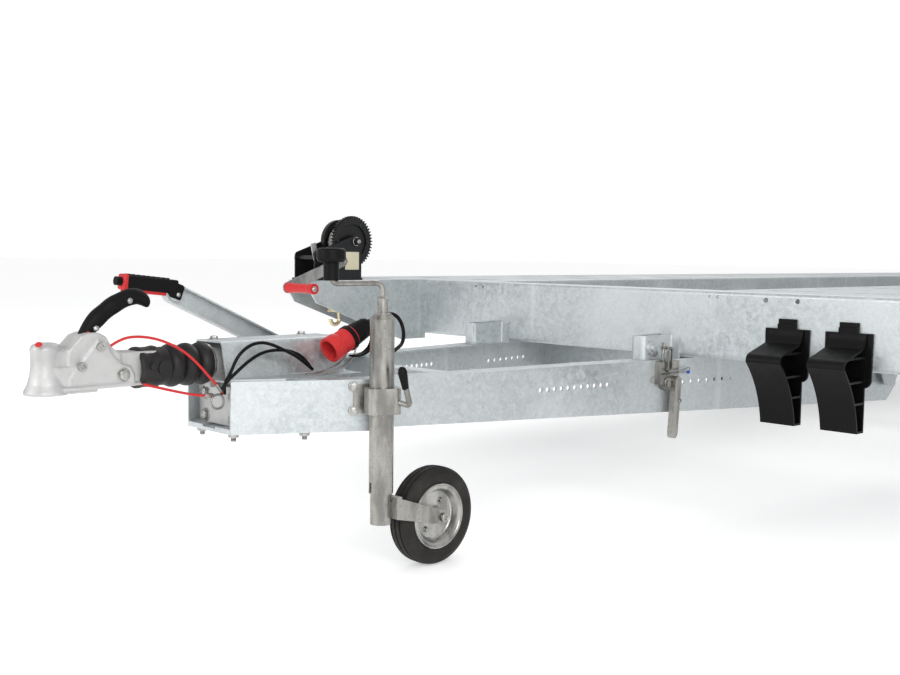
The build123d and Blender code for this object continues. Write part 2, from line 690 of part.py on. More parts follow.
def tyre(station, side):
    half = TYRE_WIDTH / 2
    bead = RIM_WIDTH / 2 - RIM_WALL
    profile = [(TYRE_BEAD, -bead), (TYRE_BEAD + TYRE_BEAD_HEIGHT, -bead - RIM_WALL),
               (TYRE_WAIST, -half), (TYRE_SHOULDER, -half * TYRE_SHOULDER_SHARE),
               (TYRE_RADIUS, -half * TREAD_SHARE), (TYRE_RADIUS, half * TREAD_SHARE),
               (TYRE_SHOULDER, half * TYRE_SHOULDER_SHARE), (TYRE_WAIST, half),
               (TYRE_BEAD + TYRE_BEAD_HEIGHT, bead + RIM_WALL), (TYRE_BEAD, bead)]
    return turned(profile, (at(station), side * TRACK / 2, TYRE_RADIUS))


TYRE_BEAD = RIM_SEAT_RADIUS
TYRE_BEAD_HEIGHT = 16.0
TYRE_WAIST = 182.0
TYRE_SHOULDER = 224.0
TYRE_SHOULDER_SHARE = 0.9
TREAD_SHARE = 0.72


def rim(station, side):
    """A steel rim with its disc, brake drum and hub; the outside is towards +Y before placing."""
    half = RIM_WIDTH / 2
    well = RIM_SEAT_RADIUS - RIM_WELL
    barrel = [(RIM_SEAT_RADIUS, -half), (RIM_SEAT_RADIUS, -half + RIM_WELL),
              (well, -half + 2 * RIM_WELL), (well, half - 2 * RIM_WELL),
              (RIM_SEAT_RADIUS, half - RIM_WELL), (RIM_SEAT_RADIUS, half),
              (RIM_SEAT_RADIUS - RIM_WALL, half), (RIM_SEAT_RADIUS - RIM_WALL, half - RIM_WELL),
              (well - RIM_WALL, half - 2 * RIM_WELL), (well - RIM_WALL, -half + 2 * RIM_WELL),
              (RIM_SEAT_RADIUS - RIM_WALL, -half + RIM_WELL), (RIM_SEAT_RADIUS - RIM_WALL, -half)]
    solid = turned(barrel, (0, 0, 0))
    for edge in (-1, 1):
        lip = [(RIM_SEAT_RADIUS - RIM_WALL, edge * half),
               (RIM_SEAT_RADIUS + RIM_FLANGE, edge * half),
               (RIM_SEAT_RADIUS + RIM_FLANGE, edge * (half + RIM_WALL)),
               (RIM_SEAT_RADIUS - RIM_WALL, edge * (half + RIM_WALL))]
        solid += turned(lip, (0, 0, 0))
    disc = [(HUB_CAP_RADIUS, 0), (HUB_CAP_RADIUS, RIM_DISC_WALL),
            (STUD_CIRCLE_RADIUS + 2 * STUD_RADIUS, RIM_DISC_WALL),
            (well - DISC_SHOULDER, RIM_DISC_WALL + DISC_DISH),
            (well - RIM_WALL, RIM_DISC_WALL), (well - RIM_WALL, 0),
            (well - DISC_SHOULDER, DISC_DISH),
            (STUD_CIRCLE_RADIUS + 2 * STUD_RADIUS, 0)]
    solid += turned(disc, (0, 0, 0))
    for number in range(HAND_HOLE_COUNT):
        angle = 2 * pi * number / HAND_HOLE_COUNT
        radius = well - DISC_SHOULDER
        solid -= across(radius * cos(angle), -OVERRUN, OVERRUN + DISC_DISH, radius * sin(angle),
                        HAND_HOLE_RADIUS)
    drum = [(0, 0), (0, -HUB_DEPTH), (HUB_RADIUS, -HUB_DEPTH), (HUB_RADIUS, -DRUM_WALL),
            (DRUM_RADIUS - DRUM_WALL, -DRUM_WALL), (DRUM_RADIUS - DRUM_WALL, -DRUM_WIDTH),
            (DRUM_RADIUS, -DRUM_WIDTH), (DRUM_RADIUS, 0)]
    solid += turned(drum, (0, 0, 0))
    cap = [(0, 0), (HUB_CAP_RADIUS, 0), (HUB_CAP_RADIUS, HUB_CAP_LENGTH - CAP_ROUND),
           (HUB_CAP_RADIUS - CAP_ROUND, HUB_CAP_LENGTH), (0, HUB_CAP_LENGTH)]
    solid += turned(cap, (0, 0, 0))
    for number in range(STUD_COUNT):
        angle = 2 * pi * number / STUD_COUNT
        x, z = STUD_CIRCLE_RADIUS * cos(angle), STUD_CIRCLE_RADIUS * sin(angle)
        solid += Pos(x, RIM_DISC_WALL + STUD_HEIGHT / 2, z) * Rot(90, 0, 0) * extrude(
            RegularPolygon(STUD_RADIUS, 6), amount=STUD_HEIGHT / 2, both=True)
    solid -= across(0, -HUB_DEPTH - OVERRUN, STUB_TIP - TRACK / 2 + RUNNING_END, 0,
                    STUB_RADIUS + RUNNING_FIT)
    if side < 0:
        solid = mirrored(solid)
    return Pos(at(station), side * TRACK / 2, TYRE_RADIUS) * solid


RIM_WELL = 14.0
DISC_SHOULDER = 22.0
DISC_DISH = 12.0
DRUM_WALL = 8.0
HUB_DEPTH = 62.0
HUB_CAP_LENGTH = 34.0
CAP_ROUND = 6.0
STUD_HEIGHT = 14.0
RUNNING_END = 2.0


def carriers():
    """Longitudinal channels under the cross members that the axles bolt to."""
    x = at(AXLE_STATION + CARRIER_LENGTH / 2 + ARM_LENGTH / 2)
    web = CARRIER_CENTRE + CARRIER_FLANGE / 2
    left = channel((x, web, MEMBER_BOTTOM - CARRIER_HEIGHT), (-1, 0, 0), (0, -1, 0),
                   CARRIER_LENGTH, CARRIER_HEIGHT, CARRIER_FLANGE, CARRIER_WALL,
                   MEMBER_CORNER + CARRIER_WALL)
    return [left, mirrored(left)]


def guards():
    """Plastic arches over the two tyres of the left side, hung from the runway."""
    arches = []
    radius = TYRE_RADIUS + GUARD_GAP
    y = TRACK / 2
    for spread in (-1, 1):
        x = at(AXLE_STATION + spread * AXLE_SPREAD / 2)
        ring = across(x, y - GUARD_WIDTH / 2, y + GUARD_WIDTH / 2, TYRE_RADIUS,
                      radius + GUARD_WALL)
        ring -= across(x, y - GUARD_WIDTH, y + GUARD_WIDTH, TYRE_RADIUS, radius)
        low = TYRE_RADIUS + radius * sin(radians(GUARD_END_ANGLE))
        arch = ring & block(x - 2 * radius, x + 2 * radius, y - GUARD_WIDTH, y + GUARD_WIDTH,
                            low, DECK_HEIGHT)
        top = TYRE_RADIUS + radius + GUARD_WALL
        for end in (-1, 1):
            post = y + end * (GUARD_WIDTH / 2 - GUARD_POST)
            arch += block(x - GUARD_POST, x + GUARD_POST, post - GUARD_WALL / 2,
                          post + GUARD_WALL / 2, top - GUARD_WALL, DECK_HEIGHT - RUNWAY_WALL)
        arches.append(arch)
    return arches


# Overrun device and coupling

def overrun_cover():
    """A hat-shaped sheet over the overrun housing, its flanges cut to the rails."""
    front, rear = at(COVER_FRONT_STATION), at(COVER_REAR_STATION)
    wall = COVER_WALL / 2
    foot = COVER_HALF_WIDTH + COVER_FLANGE
    half, top = COVER_HALF_WIDTH - wall, COVER_TOP_HALF_WIDTH - wall
    middle = FilletPolyline((-foot, wall), (-half, wall), (-top, COVER_HEIGHT - wall),
                            (top, COVER_HEIGHT - wall), (half, wall), (foot, wall),
                            radius=COVER_BEND)
    frame = Plane((rear, 0, DRAWBAR_TOP), x_dir=(0, 1, 0), z_dir=(1, 0, 0))
    cover = extrude(frame * trace(middle, COVER_WALL), amount=front - rear)
    edge = [(at(s), drawbar_edge(s) - COVER_INSET)
            for s in (COVER_FRONT_STATION, DRAWBAR_KNEE_STATION, COVER_REAR_STATION)]
    outline = make_face(Polyline(*edge, *[(x, -y) for x, y in reversed(edge)], close=True))
    outline = fillet(outline.vertices().group_by(Axis.X)[-1], COVER_CORNER)
    cover &= extrude(Plane((0, 0, DRAWBAR_TOP)) * outline, amount=2 * COVER_HEIGHT)
    return cover + brake_bracket()


def overrun_housing():
    """The cast tube that the coupling's shaft slides in, on a web and plate between the rails."""
    front, rear = at(BELLOWS_REAR_STATION) - REST_GAP, at(COVER_REAR_STATION + OVERRUN)
    axis = COUPLING_AXIS_HEIGHT
    body = rod((rear, 0, axis), (front, 0, axis), HOUSING_RADIUS)
    low = DRAWBAR_TOP - DRAWBAR_FRONT_HEIGHT + DRAWBAR_WALL
    high = axis - BELLOWS_CREST_RADIUS - SIDE_CLEARANCE
    face = at(DRAWBAR_FRONT_STATION - HOUSING_INSET)
    half = DRAWBAR_FRONT_HALF - DRAWBAR_WALL
    body += block(face, face - HOUSING_PLATE, -half, half, low, high)
    body += block(rear, face, -HOUSING_WEB / 2, HOUSING_WEB / 2, low, high)
    body += block(rear, front, -HOUSING_WEB / 2, HOUSING_WEB / 2, high, axis)
    return body


HOUSING_INSET = 25.0
HOUSING_PLATE = 8.0
HOUSING_WEB = 20.0


def bellows():
    """A rubber boot: a collar with a button on each side, then round folds."""
    front, rear = at(BELLOWS_FRONT_STATION), at(BELLOWS_REAR_STATION)
    start = front - BELLOWS_COLLAR_LENGTH
    pitch = (start - rear) / BELLOWS_FOLDS
    lower = COUPLING_TUBE_RADIUS + REST_GAP
    edges = [Line((rear, lower), (rear, BELLOWS_ROOT_RADIUS))]
    for fold in range(BELLOWS_FOLDS):
        x = rear + fold * pitch
        edges.append(ThreePointArc((x, BELLOWS_ROOT_RADIUS), (x + pitch / 2, BELLOWS_CREST_RADIUS),
                                   (x + pitch, BELLOWS_ROOT_RADIUS)))
    edges.append(Polyline((start, BELLOWS_ROOT_RADIUS), (start, BELLOWS_COLLAR_RADIUS),
                          (front, BELLOWS_COLLAR_RADIUS), (front, lower), (rear, lower)))
    boot = revolve(Plane.XZ * make_face(edges), Axis.X)
    middle = front - BELLOWS_COLLAR_LENGTH / 2
    reach = BELLOWS_COLLAR_RADIUS + BELLOWS_BUTTON_RISE
    for side in (-1, 1):
        boot += across(middle, side * BELLOWS_ROOT_RADIUS, side * reach, 0,
                       BELLOWS_BUTTON_RADIUS)
    return Pos(0, 0, COUPLING_AXIS_HEIGHT) * boot


# Side outline of the coupling's head as shares of its length and of its rise
HEAD_REAR_STATION = 1267.0
HEAD_BOTTOM = 388.0
HEAD_TOP = 479.0
HEAD_OUTLINE_SHARES = ((0.0, 0.0), (0.0, 0.56), (0.2, 0.6), (0.3, 0.98), (0.5, 0.96),
                       (0.74, 0.7), (0.86, 0.8), (0.86, 0.0))
HEAD_ROUND = 9.0
HEAD_EDGE_ROUND = 5.0
HEAD_HALF_WIDTH = 31.0
HEAD_REAR_HALF_WIDTH = 26.0
CUP_RADIUS = 34.0
CUP_TOP_RADIUS = 27.0
CUP_TOP = 467.0
CUP_ROUND = 9.0
LIP_WALL = 9.0
SLEEVE_RADIUS = 29.0
COUPLING_SLEEVE_STATION = BELLOWS_FRONT_STATION + REST_GAP
CATCH_LENGTH = 30.0
CATCH_STATION = 1405.0
CATCH_HEIGHT = 10.0


def head_cheeks():
    """The solid of the head's side outline, tapered in plan towards the shaft."""
    length = BALL_STATION + CUP_RADIUS - HEAD_REAR_STATION
    rise = HEAD_TOP - HEAD_BOTTOM
    points = [(at(HEAD_REAR_STATION + along * length), HEAD_BOTTOM + up * rise)
              for along, up in HEAD_OUTLINE_SHARES]
    outline = make_face(Polyline(*points, close=True))
    outline = fillet(outline.vertices().group_by(Axis.Y)[1:], HEAD_ROUND)
    cheeks = extrude(upright(HEAD_HALF_WIDTH) * outline, amount=2 * HEAD_HALF_WIDTH)
    rear, front = at(HEAD_REAR_STATION - OVERRUN), at(BALL_STATION)
    waist = at(between(HEAD_REAR_STATION, BALL_STATION, HEAD_WAIST_SHARE))
    plan = [(rear, HEAD_REAR_HALF_WIDTH), (waist, HEAD_HALF_WIDTH), (front, HEAD_REAR_HALF_WIDTH)]
    plan += [(x, -y) for x, y in reversed(plan)]
    return cheeks & plan_outline(plan, 0, DECK_HEIGHT)


HEAD_WAIST_SHARE = 0.35


def coupling_head():
    """The ball coupling: a cast cup over the ball, cheeks and the sliding shaft."""
    axis = COUPLING_AXIS_HEIGHT
    lip = COUPLING_REACH - BALL_STATION
    cup = make_face(Polyline((0, HEAD_BOTTOM), (lip, HEAD_BOTTOM), (lip, HEAD_BOTTOM + LIP_WALL),
                             (CUP_RADIUS, HEAD_BOTTOM + 2 * LIP_WALL), (CUP_TOP_RADIUS, CUP_TOP),
                             (0, CUP_TOP), close=True))
    cup = fillet(cup.vertices().sort_by(Axis.Y)[-2:].sort_by(Axis.X)[-1:], CUP_ROUND)
    body = Pos(at(BALL_STATION), 0, 0) * revolve(Plane.XZ * cup, Axis.Z)
    body += head_cheeks()
    neck_rear = at(HEAD_REAR_STATION)
    body += rod((neck_rear + OVERRUN, 0, axis), (at(COUPLING_SLEEVE_STATION), 0, axis),
                SLEEVE_RADIUS)
    body += rod((neck_rear, 0, axis), (at(BELLOWS_REAR_STATION), 0, axis), COUPLING_TUBE_RADIUS)
    body += block(at(CATCH_STATION), at(CATCH_STATION - CATCH_LENGTH), -CATCH_LENGTH / 2,
                  CATCH_LENGTH / 2, HEAD_BOTTOM, HEAD_BOTTOM - CATCH_HEIGHT)
    ball = (at(BALL_STATION), 0, BALL_HEIGHT)
    radius = COUPLING_BALL_RADIUS + BALL_CLEARANCE
    return body - Pos(*ball) * Sphere(radius) - rod((ball[0], 0, 0), ball, radius)


# Side outline of the coupling's handle as shares of its run backwards and its rise
HANDLE_FOOT_STATION = 1389.0
HANDLE_FOOT_HEIGHT = 463.0
HANDLE_RUN = 133.0
HANDLE_RISE = 95.0
HANDLE_WIDTH = 28.0
HANDLE_OUTLINE_SHARES = ((0.0, 0.0), (0.1, 0.46), (0.68, 0.97), (0.9, 0.97), (1.0, 0.85),
                         (0.99, 0.68), (0.86, 0.72), (0.52, 0.42), (0.3, 0.14), (0.28, 0.0))
HANDLE_ROUND = 7.0
HANDLE_EDGE_ROUND = 5.0


def coupling_handle():
    """The club-shaped handle that leans back over the coupling, its end hooked down."""
    points = [(at(HANDLE_FOOT_STATION - back * HANDLE_RUN), HANDLE_FOOT_HEIGHT + up * HANDLE_RISE)
              for back, up in HANDLE_OUTLINE_SHARES]
    outline = make_face(Polyline(*points, close=True))
    outline = fillet(outline.vertices().group_by(Axis.Y)[1:], HANDLE_ROUND)
    handle = extrude(upright(HANDLE_WIDTH / 2) * outline, amount=HANDLE_WIDTH)
    handle = fillet(handle.faces().sort_by(Axis.Y)[0].edges()
                    + handle.faces().sort_by(Axis.Y)[-1].edges(), HANDLE_EDGE_ROUND)
    return handle - coupling_head()


# Handbrake

def brake_frame(shape):
    """Places a piece that is drawn lying forward from the brake's pivot."""
    return Pos(at(BRAKE_PIVOT_STATION), BRAKE_PIVOT_SIDE, BRAKE_PIVOT_HEIGHT) * Rot(
        0, -BRAKE_LEVER_ANGLE, 0) * shape


def brake_lever():
    """A channel, open to the left, with a round end at the grip."""
    length, height = BRAKE_LEVER_LENGTH + BRAKE_LEVER_HEIGHT, BRAKE_LEVER_HEIGHT
    outline = Pos(BRAKE_LEVER_LENGTH / 2, 0) * SlotOverall(length, height)
    bar = extrude(upright(BRAKE_LEVER_WIDTH / 2) * outline, amount=BRAKE_LEVER_WIDTH)
    hollow = upright(BRAKE_LEVER_WIDTH / 2) * offset(outline, -LEVER_WALL)
    bar -= extrude(hollow, amount=BRAKE_LEVER_WIDTH - LEVER_WALL)
    for x in (0, BRAKE_LEVER_LENGTH):
        bar += across(x, -BRAKE_LEVER_WIDTH / 2, BRAKE_LEVER_WIDTH / 2, 0, 2 * BRAKE_PIN_RADIUS)
    bar -= across(0, -BRAKE_LEVER_WIDTH, BRAKE_LEVER_WIDTH, 0, BRAKE_PIN_RADIUS + PIVOT_FIT)
    return brake_frame(bar)


LEVER_WALL = 3.0


def brake_grip():
    """A moulded grip on the lever's front end, nearly level, with its push button."""
    half, heel = BRAKE_GRIP_HEIGHT / 2, BRAKE_GRIP_HEIGHT
    outline = make_face(Polyline((0, half), (BRAKE_GRIP_LENGTH, half), (BRAKE_GRIP_LENGTH, -half),
                                 (GRIP_HEEL_LENGTH, -half), (0, -half - heel / 2), close=True))
    outline = fillet(outline.vertices(), GRIP_ROUND)
    grip = extrude(upright(BRAKE_GRIP_WIDTH / 2) * outline, amount=BRAKE_GRIP_WIDTH)
    grip = fillet(grip.faces().sort_by(Axis.Y)[0].edges() + grip.faces().sort_by(Axis.Y)[-1].edges(),
                  GRIP_ROUND)
    tip = BRAKE_GRIP_LENGTH + BUTTON_LENGTH
    grip += rod((BRAKE_GRIP_LENGTH - GRIP_ROUND, 0, 0), (tip, 0, 0), BUTTON_RADIUS)
    grip = Pos(BRAKE_LEVER_LENGTH, 0, half) * Rot(0, BRAKE_LEVER_ANGLE - BRAKE_GRIP_ANGLE,
                                                  0) * grip
    return brake_frame(grip) - brake_lever()


GRIP_ROUND = 5.0
GRIP_HEEL_LENGTH = 24.0
BUTTON_LENGTH = 15.0
BUTTON_RADIUS = 8.5


def brake_bracket():
    """The ears on the cover's right flange that carry the handbrake's pin."""
    x, z = at(BRAKE_PIVOT_STATION), BRAKE_PIVOT_HEIGHT
    y = BRAKE_PIVOT_SIDE
    ears = []
    for side in (-1, 1):
        inner = y + side * (BRAKE_LEVER_WIDTH / 2 + BRACKET_GAP)
        outer = inner + side * BRACKET_WALL
        ears.append(block(x - BRACKET_HALF, x + BRACKET_HALF, inner, outer,
                          DRAWBAR_TOP + COVER_WALL / 2, z))
        ears.append(across(x, inner, outer, z, BRACKET_HALF))
    span = BRAKE_LEVER_WIDTH / 2 + BRACKET_GAP + BRACKET_WALL
    ears.append(across(x, y - span, y + span, z, BRAKE_PIN_RADIUS))
    return all_of(ears)


BRACKET_GAP = 1.0
BRACKET_WALL = 4.0
BRACKET_HALF = 22.0


# Jockey wheel

JOCKEY_SIDE = drawbar_edge(JOCKEY_STATION) + JOCKEY_STANDOFF + JOCKEY_TUBE_RADIUS
JOCKEY_INNER_TOP = JOCKEY_INNER_BOTTOM + JOCKEY_INNER_LENGTH
NOTCH_WIDTH = 18.0
NOTCH_DEPTH = 22.0
HEAD_TAPER = 8.0
HEAD_COLLAR_RADIUS = 17.0
HEAD_COLLAR_HEIGHT = 4.0
HEAD_CAP_RADIUS = 11.0
HEAD_CAP_HEIGHT = 32.0
JOCKEY_HEAD_TOP = JOCKEY_TUBE_TOP + HEAD_COLLAR_HEIGHT + HEAD_CAP_HEIGHT


def jockey_tube():
    """The outer tube with a notch in its foot, its head, and the bent crank rod."""
    x, y = at(JOCKEY_STATION), JOCKEY_SIDE
    bore = JOCKEY_TUBE_RADIUS - JOCKEY_TUBE_WALL
    shoulder = JOCKEY_TUBE_TOP - HEAD_TAPER
    collar = JOCKEY_TUBE_TOP + HEAD_COLLAR_HEIGHT
    profile = [(bore, JOCKEY_TUBE_BOTTOM), (JOCKEY_TUBE_RADIUS, JOCKEY_TUBE_BOTTOM),
               (JOCKEY_TUBE_RADIUS, shoulder), (JOCKEY_TUBE_RADIUS - HEAD_COLLAR_HEIGHT,
                                                JOCKEY_TUBE_TOP),
               (HEAD_COLLAR_RADIUS, JOCKEY_TUBE_TOP), (HEAD_COLLAR_RADIUS, collar),
               (HEAD_CAP_RADIUS, collar), (HEAD_CAP_RADIUS, JOCKEY_HEAD_TOP - HEAD_COLLAR_HEIGHT),
               (HEAD_CAP_RADIUS - HEAD_COLLAR_HEIGHT, JOCKEY_HEAD_TOP), (0, JOCKEY_HEAD_TOP),
               (0, shoulder), (bore, shoulder)]
    tube = Pos(x, y, 0) * revolve(Plane.XZ * make_face(Polyline(*profile, close=True)), Axis.Z)
    notch = NOTCH_WIDTH / 2
    tube -= block(x - 2 * JOCKEY_TUBE_RADIUS, x + 2 * JOCKEY_TUBE_RADIUS, y - notch, y + notch,
                  JOCKEY_TUBE_BOTTOM - OVERRUN, JOCKEY_TUBE_BOTTOM + NOTCH_DEPTH)
    high = JOCKEY_HEAD_TOP + CRANK_RISE
    crank = bent_rod([(x, y, JOCKEY_HEAD_TOP - HEAD_COLLAR_HEIGHT), (x, y, high),
                      (x + CRANK_REACH, y, high), (x + CRANK_REACH, y, high
                                                   + CRANK_STEM_HEIGHT)],
                     CRANK_BEND, CRANK_ROD_RADIUS)
    return tube + crank


def crank_knob():
    """The knob on the upturned end of the rod: a neck under a broad round head."""
    x, y = at(JOCKEY_STATION) + CRANK_REACH, JOCKEY_SIDE
    low = JOCKEY_HEAD_TOP + CRANK_RISE + CRANK_ROD_RADIUS
    neck = low + CRANK_STEM_HEIGHT
    high = low + CRANK_KNOB_HEIGHT
    profile = make_face(Polyline((0, low), (CRANK_STEM_RADIUS, low), (CRANK_STEM_RADIUS, neck),
                                 (CRANK_KNOB_RADIUS, neck), (CRANK_KNOB_RADIUS, high), (0, high),
                                 close=True))
    profile = fillet(profile.vertices().group_by(Axis.X)[-1], KNOB_ROUND)
    knob = Pos(x, y, 0) * revolve(Plane.XZ * profile, Axis.Z)
    return knob - jockey_tube()


KNOB_ROUND = 7.0


def clamp_frame():
    """Lies on the rail's web below the jockey tube: X along the rail, Y out, Z up."""
    front = Vector(at(DRAWBAR_FRONT_STATION), DRAWBAR_FRONT_HALF, 0)
    knee = Vector(at(DRAWBAR_KNEE_STATION), DRAWBAR_KNEE_HALF, 0)
    along = (front - knee).normalized()
    outward = Vector(-along.Y, along.X, 0)
    return Plane(knee, x_dir=along, z_dir=(0, 0, 1)), outward


def jockey_clamp():
    """The split clamp on the drawbar's web: lobed plate, housing round the tube, lever."""
    frame, outward = clamp_frame()
    axis = frame.to_local_coords(Vector(at(JOCKEY_STATION), JOCKEY_SIDE, 0))
    reach, out = axis.X, axis.Y
    low = DRAWBAR_TOP - CLAMP_DROP - CLAMP_HEIGHT
    bar = RectangleRounded(2 * CLAMP_HALF, out + CLAMP_WALL + JOCKEY_TUBE_RADIUS, CLAMP_ROUND)
    bar = Pos(reach, (out + CLAMP_WALL + JOCKEY_TUBE_RADIUS) / 2) * bar
    gap = Pos(reach + CLAMP_HALF, out / 2) * Rectangle(CLAMP_SLOT, out - 2 * CLAMP_WALL)
    bore = Pos(reach, out) * Circle(JOCKEY_TUBE_RADIUS)
    housing = extrude(frame * Pos(0, 0, low) * (bar - gap - bore), amount=CLAMP_HEIGHT)
    middle = low + CLAMP_HEIGHT / 2
    plate = Sketch()
    for along, up in ((LOBE_SPREAD, LOBE_RISE), (LOBE_SPREAD, -LOBE_RISE)):
        plate += Pos(reach + CLAMP_HALF + along, middle + up) * Circle(LOBE_RADIUS)
    plate += Pos(reach + CLAMP_HALF, middle) * RectangleRounded(
        2 * LOBE_SPREAD, 2 * LOBE_RISE + LOBE_RADIUS, LOBE_RADIUS / 2)
    wall = Plane(frame.origin, x_dir=frame.x_dir, z_dir=(-outward.X, -outward.Y, 0))
    housing += extrude(wall * plate, amount=-CLAMP_PLATE)
    x, y = at(JOCKEY_STATION), JOCKEY_SIDE + JOCKEY_TUBE_RADIUS
    housing += bent_rod([(x - LOBE_RADIUS, y + CLAMP_WALL / 2, middle),
                         (x - 2 * CLAMP_HALF / 3, y + CLAMP_HALF, middle - CLAMP_WALL),
                         (x, y + CLAMP_HALF, middle + 2 * CLAMP_HALF)], LOBE_RADIUS / 2,
                        CRANK_ROD_RADIUS)
    return housing - plan_outline(drawbar_strip(0, DRAWBAR_FLANGE), 0, DECK_HEIGHT)


CLAMP_DROP = 12.0
CLAMP_HEIGHT = 50.0
CLAMP_WALL = 7.0
CLAMP_HALF = 33.0
CLAMP_ROUND = 12.0
CLAMP_SLOT = 30.0
CLAMP_PLATE = 5.0
LOBE_SPREAD = 16.0
LOBE_RISE = 24.0
LOBE_RADIUS = 10.0


def jockey_nut():
    """The lifting nut in the tube, which the inner tube turns on."""
    x, y = at(JOCKEY_STATION), JOCKEY_SIDE
    low = JOCKEY_INNER_TOP + REST_GAP
    return rod((x, y, low), (x, y, low + JOCKEY_NUT_HEIGHT), JOCKEY_INNER_RADIUS)


def jockey_fork():
    """The inner tube with the fork that holds the wheel."""
    x, y = at(JOCKEY_STATION), JOCKEY_SIDE
    tube = rod((x, y, JOCKEY_INNER_BOTTOM), (x, y, JOCKEY_INNER_TOP), JOCKEY_INNER_RADIUS)
    tube -= rod((x, y, JOCKEY_INNER_BOTTOM + JOCKEY_TUBE_WALL), (x, y, JOCKEY_INNER_TOP + OVERRUN),
                JOCKEY_INNER_RADIUS - JOCKEY_TUBE_WALL)
    axle_x = x - JOCKEY_TRAIL
    inner = JOCKEY_WHEEL_WIDTH / 2 + SIDE_CLEARANCE
    outer = inner + JOCKEY_FORK_WALL
    high = JOCKEY_TUBE_BOTTOM - FORK_TOP_GAP
    low = high - JOCKEY_FORK_HEIGHT
    tip = JOCKEY_FORK_HEIGHT / 3
    fork = tube
    for side in (-1, 1):
        arm = side_outline([(x - JOCKEY_INNER_RADIUS / 2, high), (x - JOCKEY_INNER_RADIUS / 2, low),
                            (axle_x, JOCKEY_WHEEL_RADIUS - tip),
                            (axle_x, JOCKEY_WHEEL_RADIUS + tip)],
                           y + side * inner, y + side * outer)
        arm += across(axle_x, y + side * inner, y + side * outer, JOCKEY_WHEEL_RADIUS, tip)
        fork += arm
    fork += block(x - JOCKEY_INNER_RADIUS / 2, x - JOCKEY_INNER_RADIUS - JOCKEY_FORK_WALL / 2,
                  y - outer, y + outer, low, high)
    fork += across(axle_x, y - outer - JOCKEY_FORK_WALL, y + outer + JOCKEY_FORK_WALL,
                   JOCKEY_WHEEL_RADIUS, JOCKEY_AXLE_RADIUS)
    return fork


FORK_TOP_GAP = 6.0


def jockey_tyre():
    half = JOCKEY_WHEEL_WIDTH / 2
    crown = JOCKEY_WHEEL_RADIUS - JOCKEY_TYRE_ROUND
    edge = half - JOCKEY_TYRE_ROUND
    top = Line((JOCKEY_WHEEL_RADIUS, -edge), (JOCKEY_WHEEL_RADIUS, edge))
    left = RadiusArc((crown, -half), (JOCKEY_WHEEL_RADIUS, -edge), JOCKEY_TYRE_ROUND)
    right = RadiusArc((JOCKEY_WHEEL_RADIUS, edge), (crown, half), JOCKEY_TYRE_ROUND)
    rest = Polyline((crown, half), (JOCKEY_RIM_RADIUS, half), (JOCKEY_RIM_RADIUS, -half),
                    (crown, -half))
    outline = make_face([top, left, right, rest])
    return Pos(at(JOCKEY_STATION) - JOCKEY_TRAIL, JOCKEY_SIDE, JOCKEY_WHEEL_RADIUS) * revolve(
        outline, Axis.Y)


JOCKEY_TYRE_ROUND = 14.0


def jockey_rim():
    half = JOCKEY_WHEEL_WIDTH / 2
    wall = JOCKEY_TUBE_WALL
    hub = JOCKEY_AXLE_RADIUS + RUNNING_FIT
    profile = [(hub, -half), (JOCKEY_HUB_RADIUS, -half), (JOCKEY_HUB_RADIUS, -wall),
               (JOCKEY_RIM_RADIUS - JOCKEY_DISH, -wall), (JOCKEY_RIM_RADIUS - wall, -half),
               (JOCKEY_RIM_RADIUS, -half), (JOCKEY_RIM_RADIUS, half),
               (JOCKEY_RIM_RADIUS - wall, half), (JOCKEY_RIM_RADIUS - JOCKEY_DISH, wall),
               (JOCKEY_HUB_RADIUS, wall), (JOCKEY_HUB_RADIUS, half), (hub, half)]
    return turned(profile, (at(JOCKEY_STATION) - JOCKEY_TRAIL, JOCKEY_SIDE, JOCKEY_WHEEL_RADIUS))


JOCKEY_HUB_RADIUS = 14.0
JOCKEY_DISH = 14.0


# Winch

WINCH_X = at(WINCH_STATION)
WINCH_Z = DECK_HEIGHT + WINCH_AXIS_RISE
GEAR_RADIUS = GEAR_MODULE * GEAR_TEETH / 2
PINION_RADIUS = GEAR_MODULE * PINION_TEETH / 2
GEAR_DISTANCE = GEAR_RADIUS + PINION_RADIUS + GEAR_BACKLASH
PINION_ANGLE = -39.0
PINION_X = WINCH_X + GEAR_DISTANCE * cos(radians(PINION_ANGLE))
PINION_Z = WINCH_Z + GEAR_DISTANCE * sin(radians(PINION_ANGLE))
WINCH_LEFT = ARM_CENTRE + WINCH_WIDTH / 2
WINCH_RIGHT = ARM_CENTRE - WINCH_WIDTH / 2
FRAME_BOSS_RADIUS = 19.0
FRAME_FRONT_RISE = 76.0
FRAME_CORNER = 12.0
FRAME_BASE_LIP = 5.0
CRANK_SHAFT_RADIUS = 8.0
TIE_ROD_RADIUS = 6.0
TIE_ROD_INSET = 14.0
WINCH_REAR_X = WINCH_X - FRAME_BOSS_RADIUS
WINCH_FRONT_X = WINCH_REAR_X + WINCH_BASE_LENGTH


def winch_arm():
    """A tapered channel, open below, bolted to the front beam."""
    top = DECK_HEIGHT
    tip = top - ARM_TIP_HEIGHT
    outline = [(at(0), top), (at(0), top - ARM_ROOT_HEIGHT),
               (at(ARM_ROOT_LENGTH), top - ARM_ROOT_HEIGHT),
               (at(ARM_REACH - ARM_TIP_CUT_LENGTH), tip - ARM_TIP_CUT_HEIGHT),
               (at(ARM_REACH), tip), (at(ARM_REACH), top)]
    arm = side_outline(outline, ARM_CENTRE - ARM_WIDTH / 2, ARM_CENTRE + ARM_WIDTH / 2)
    arm -= block(at(-OVERRUN), at(ARM_REACH + OVERRUN), ARM_CENTRE - ARM_WIDTH / 2 + ARM_PLATE,
                 ARM_CENTRE + ARM_WIDTH / 2 - ARM_PLATE, 0, top - ARM_PLATE)
    return arm


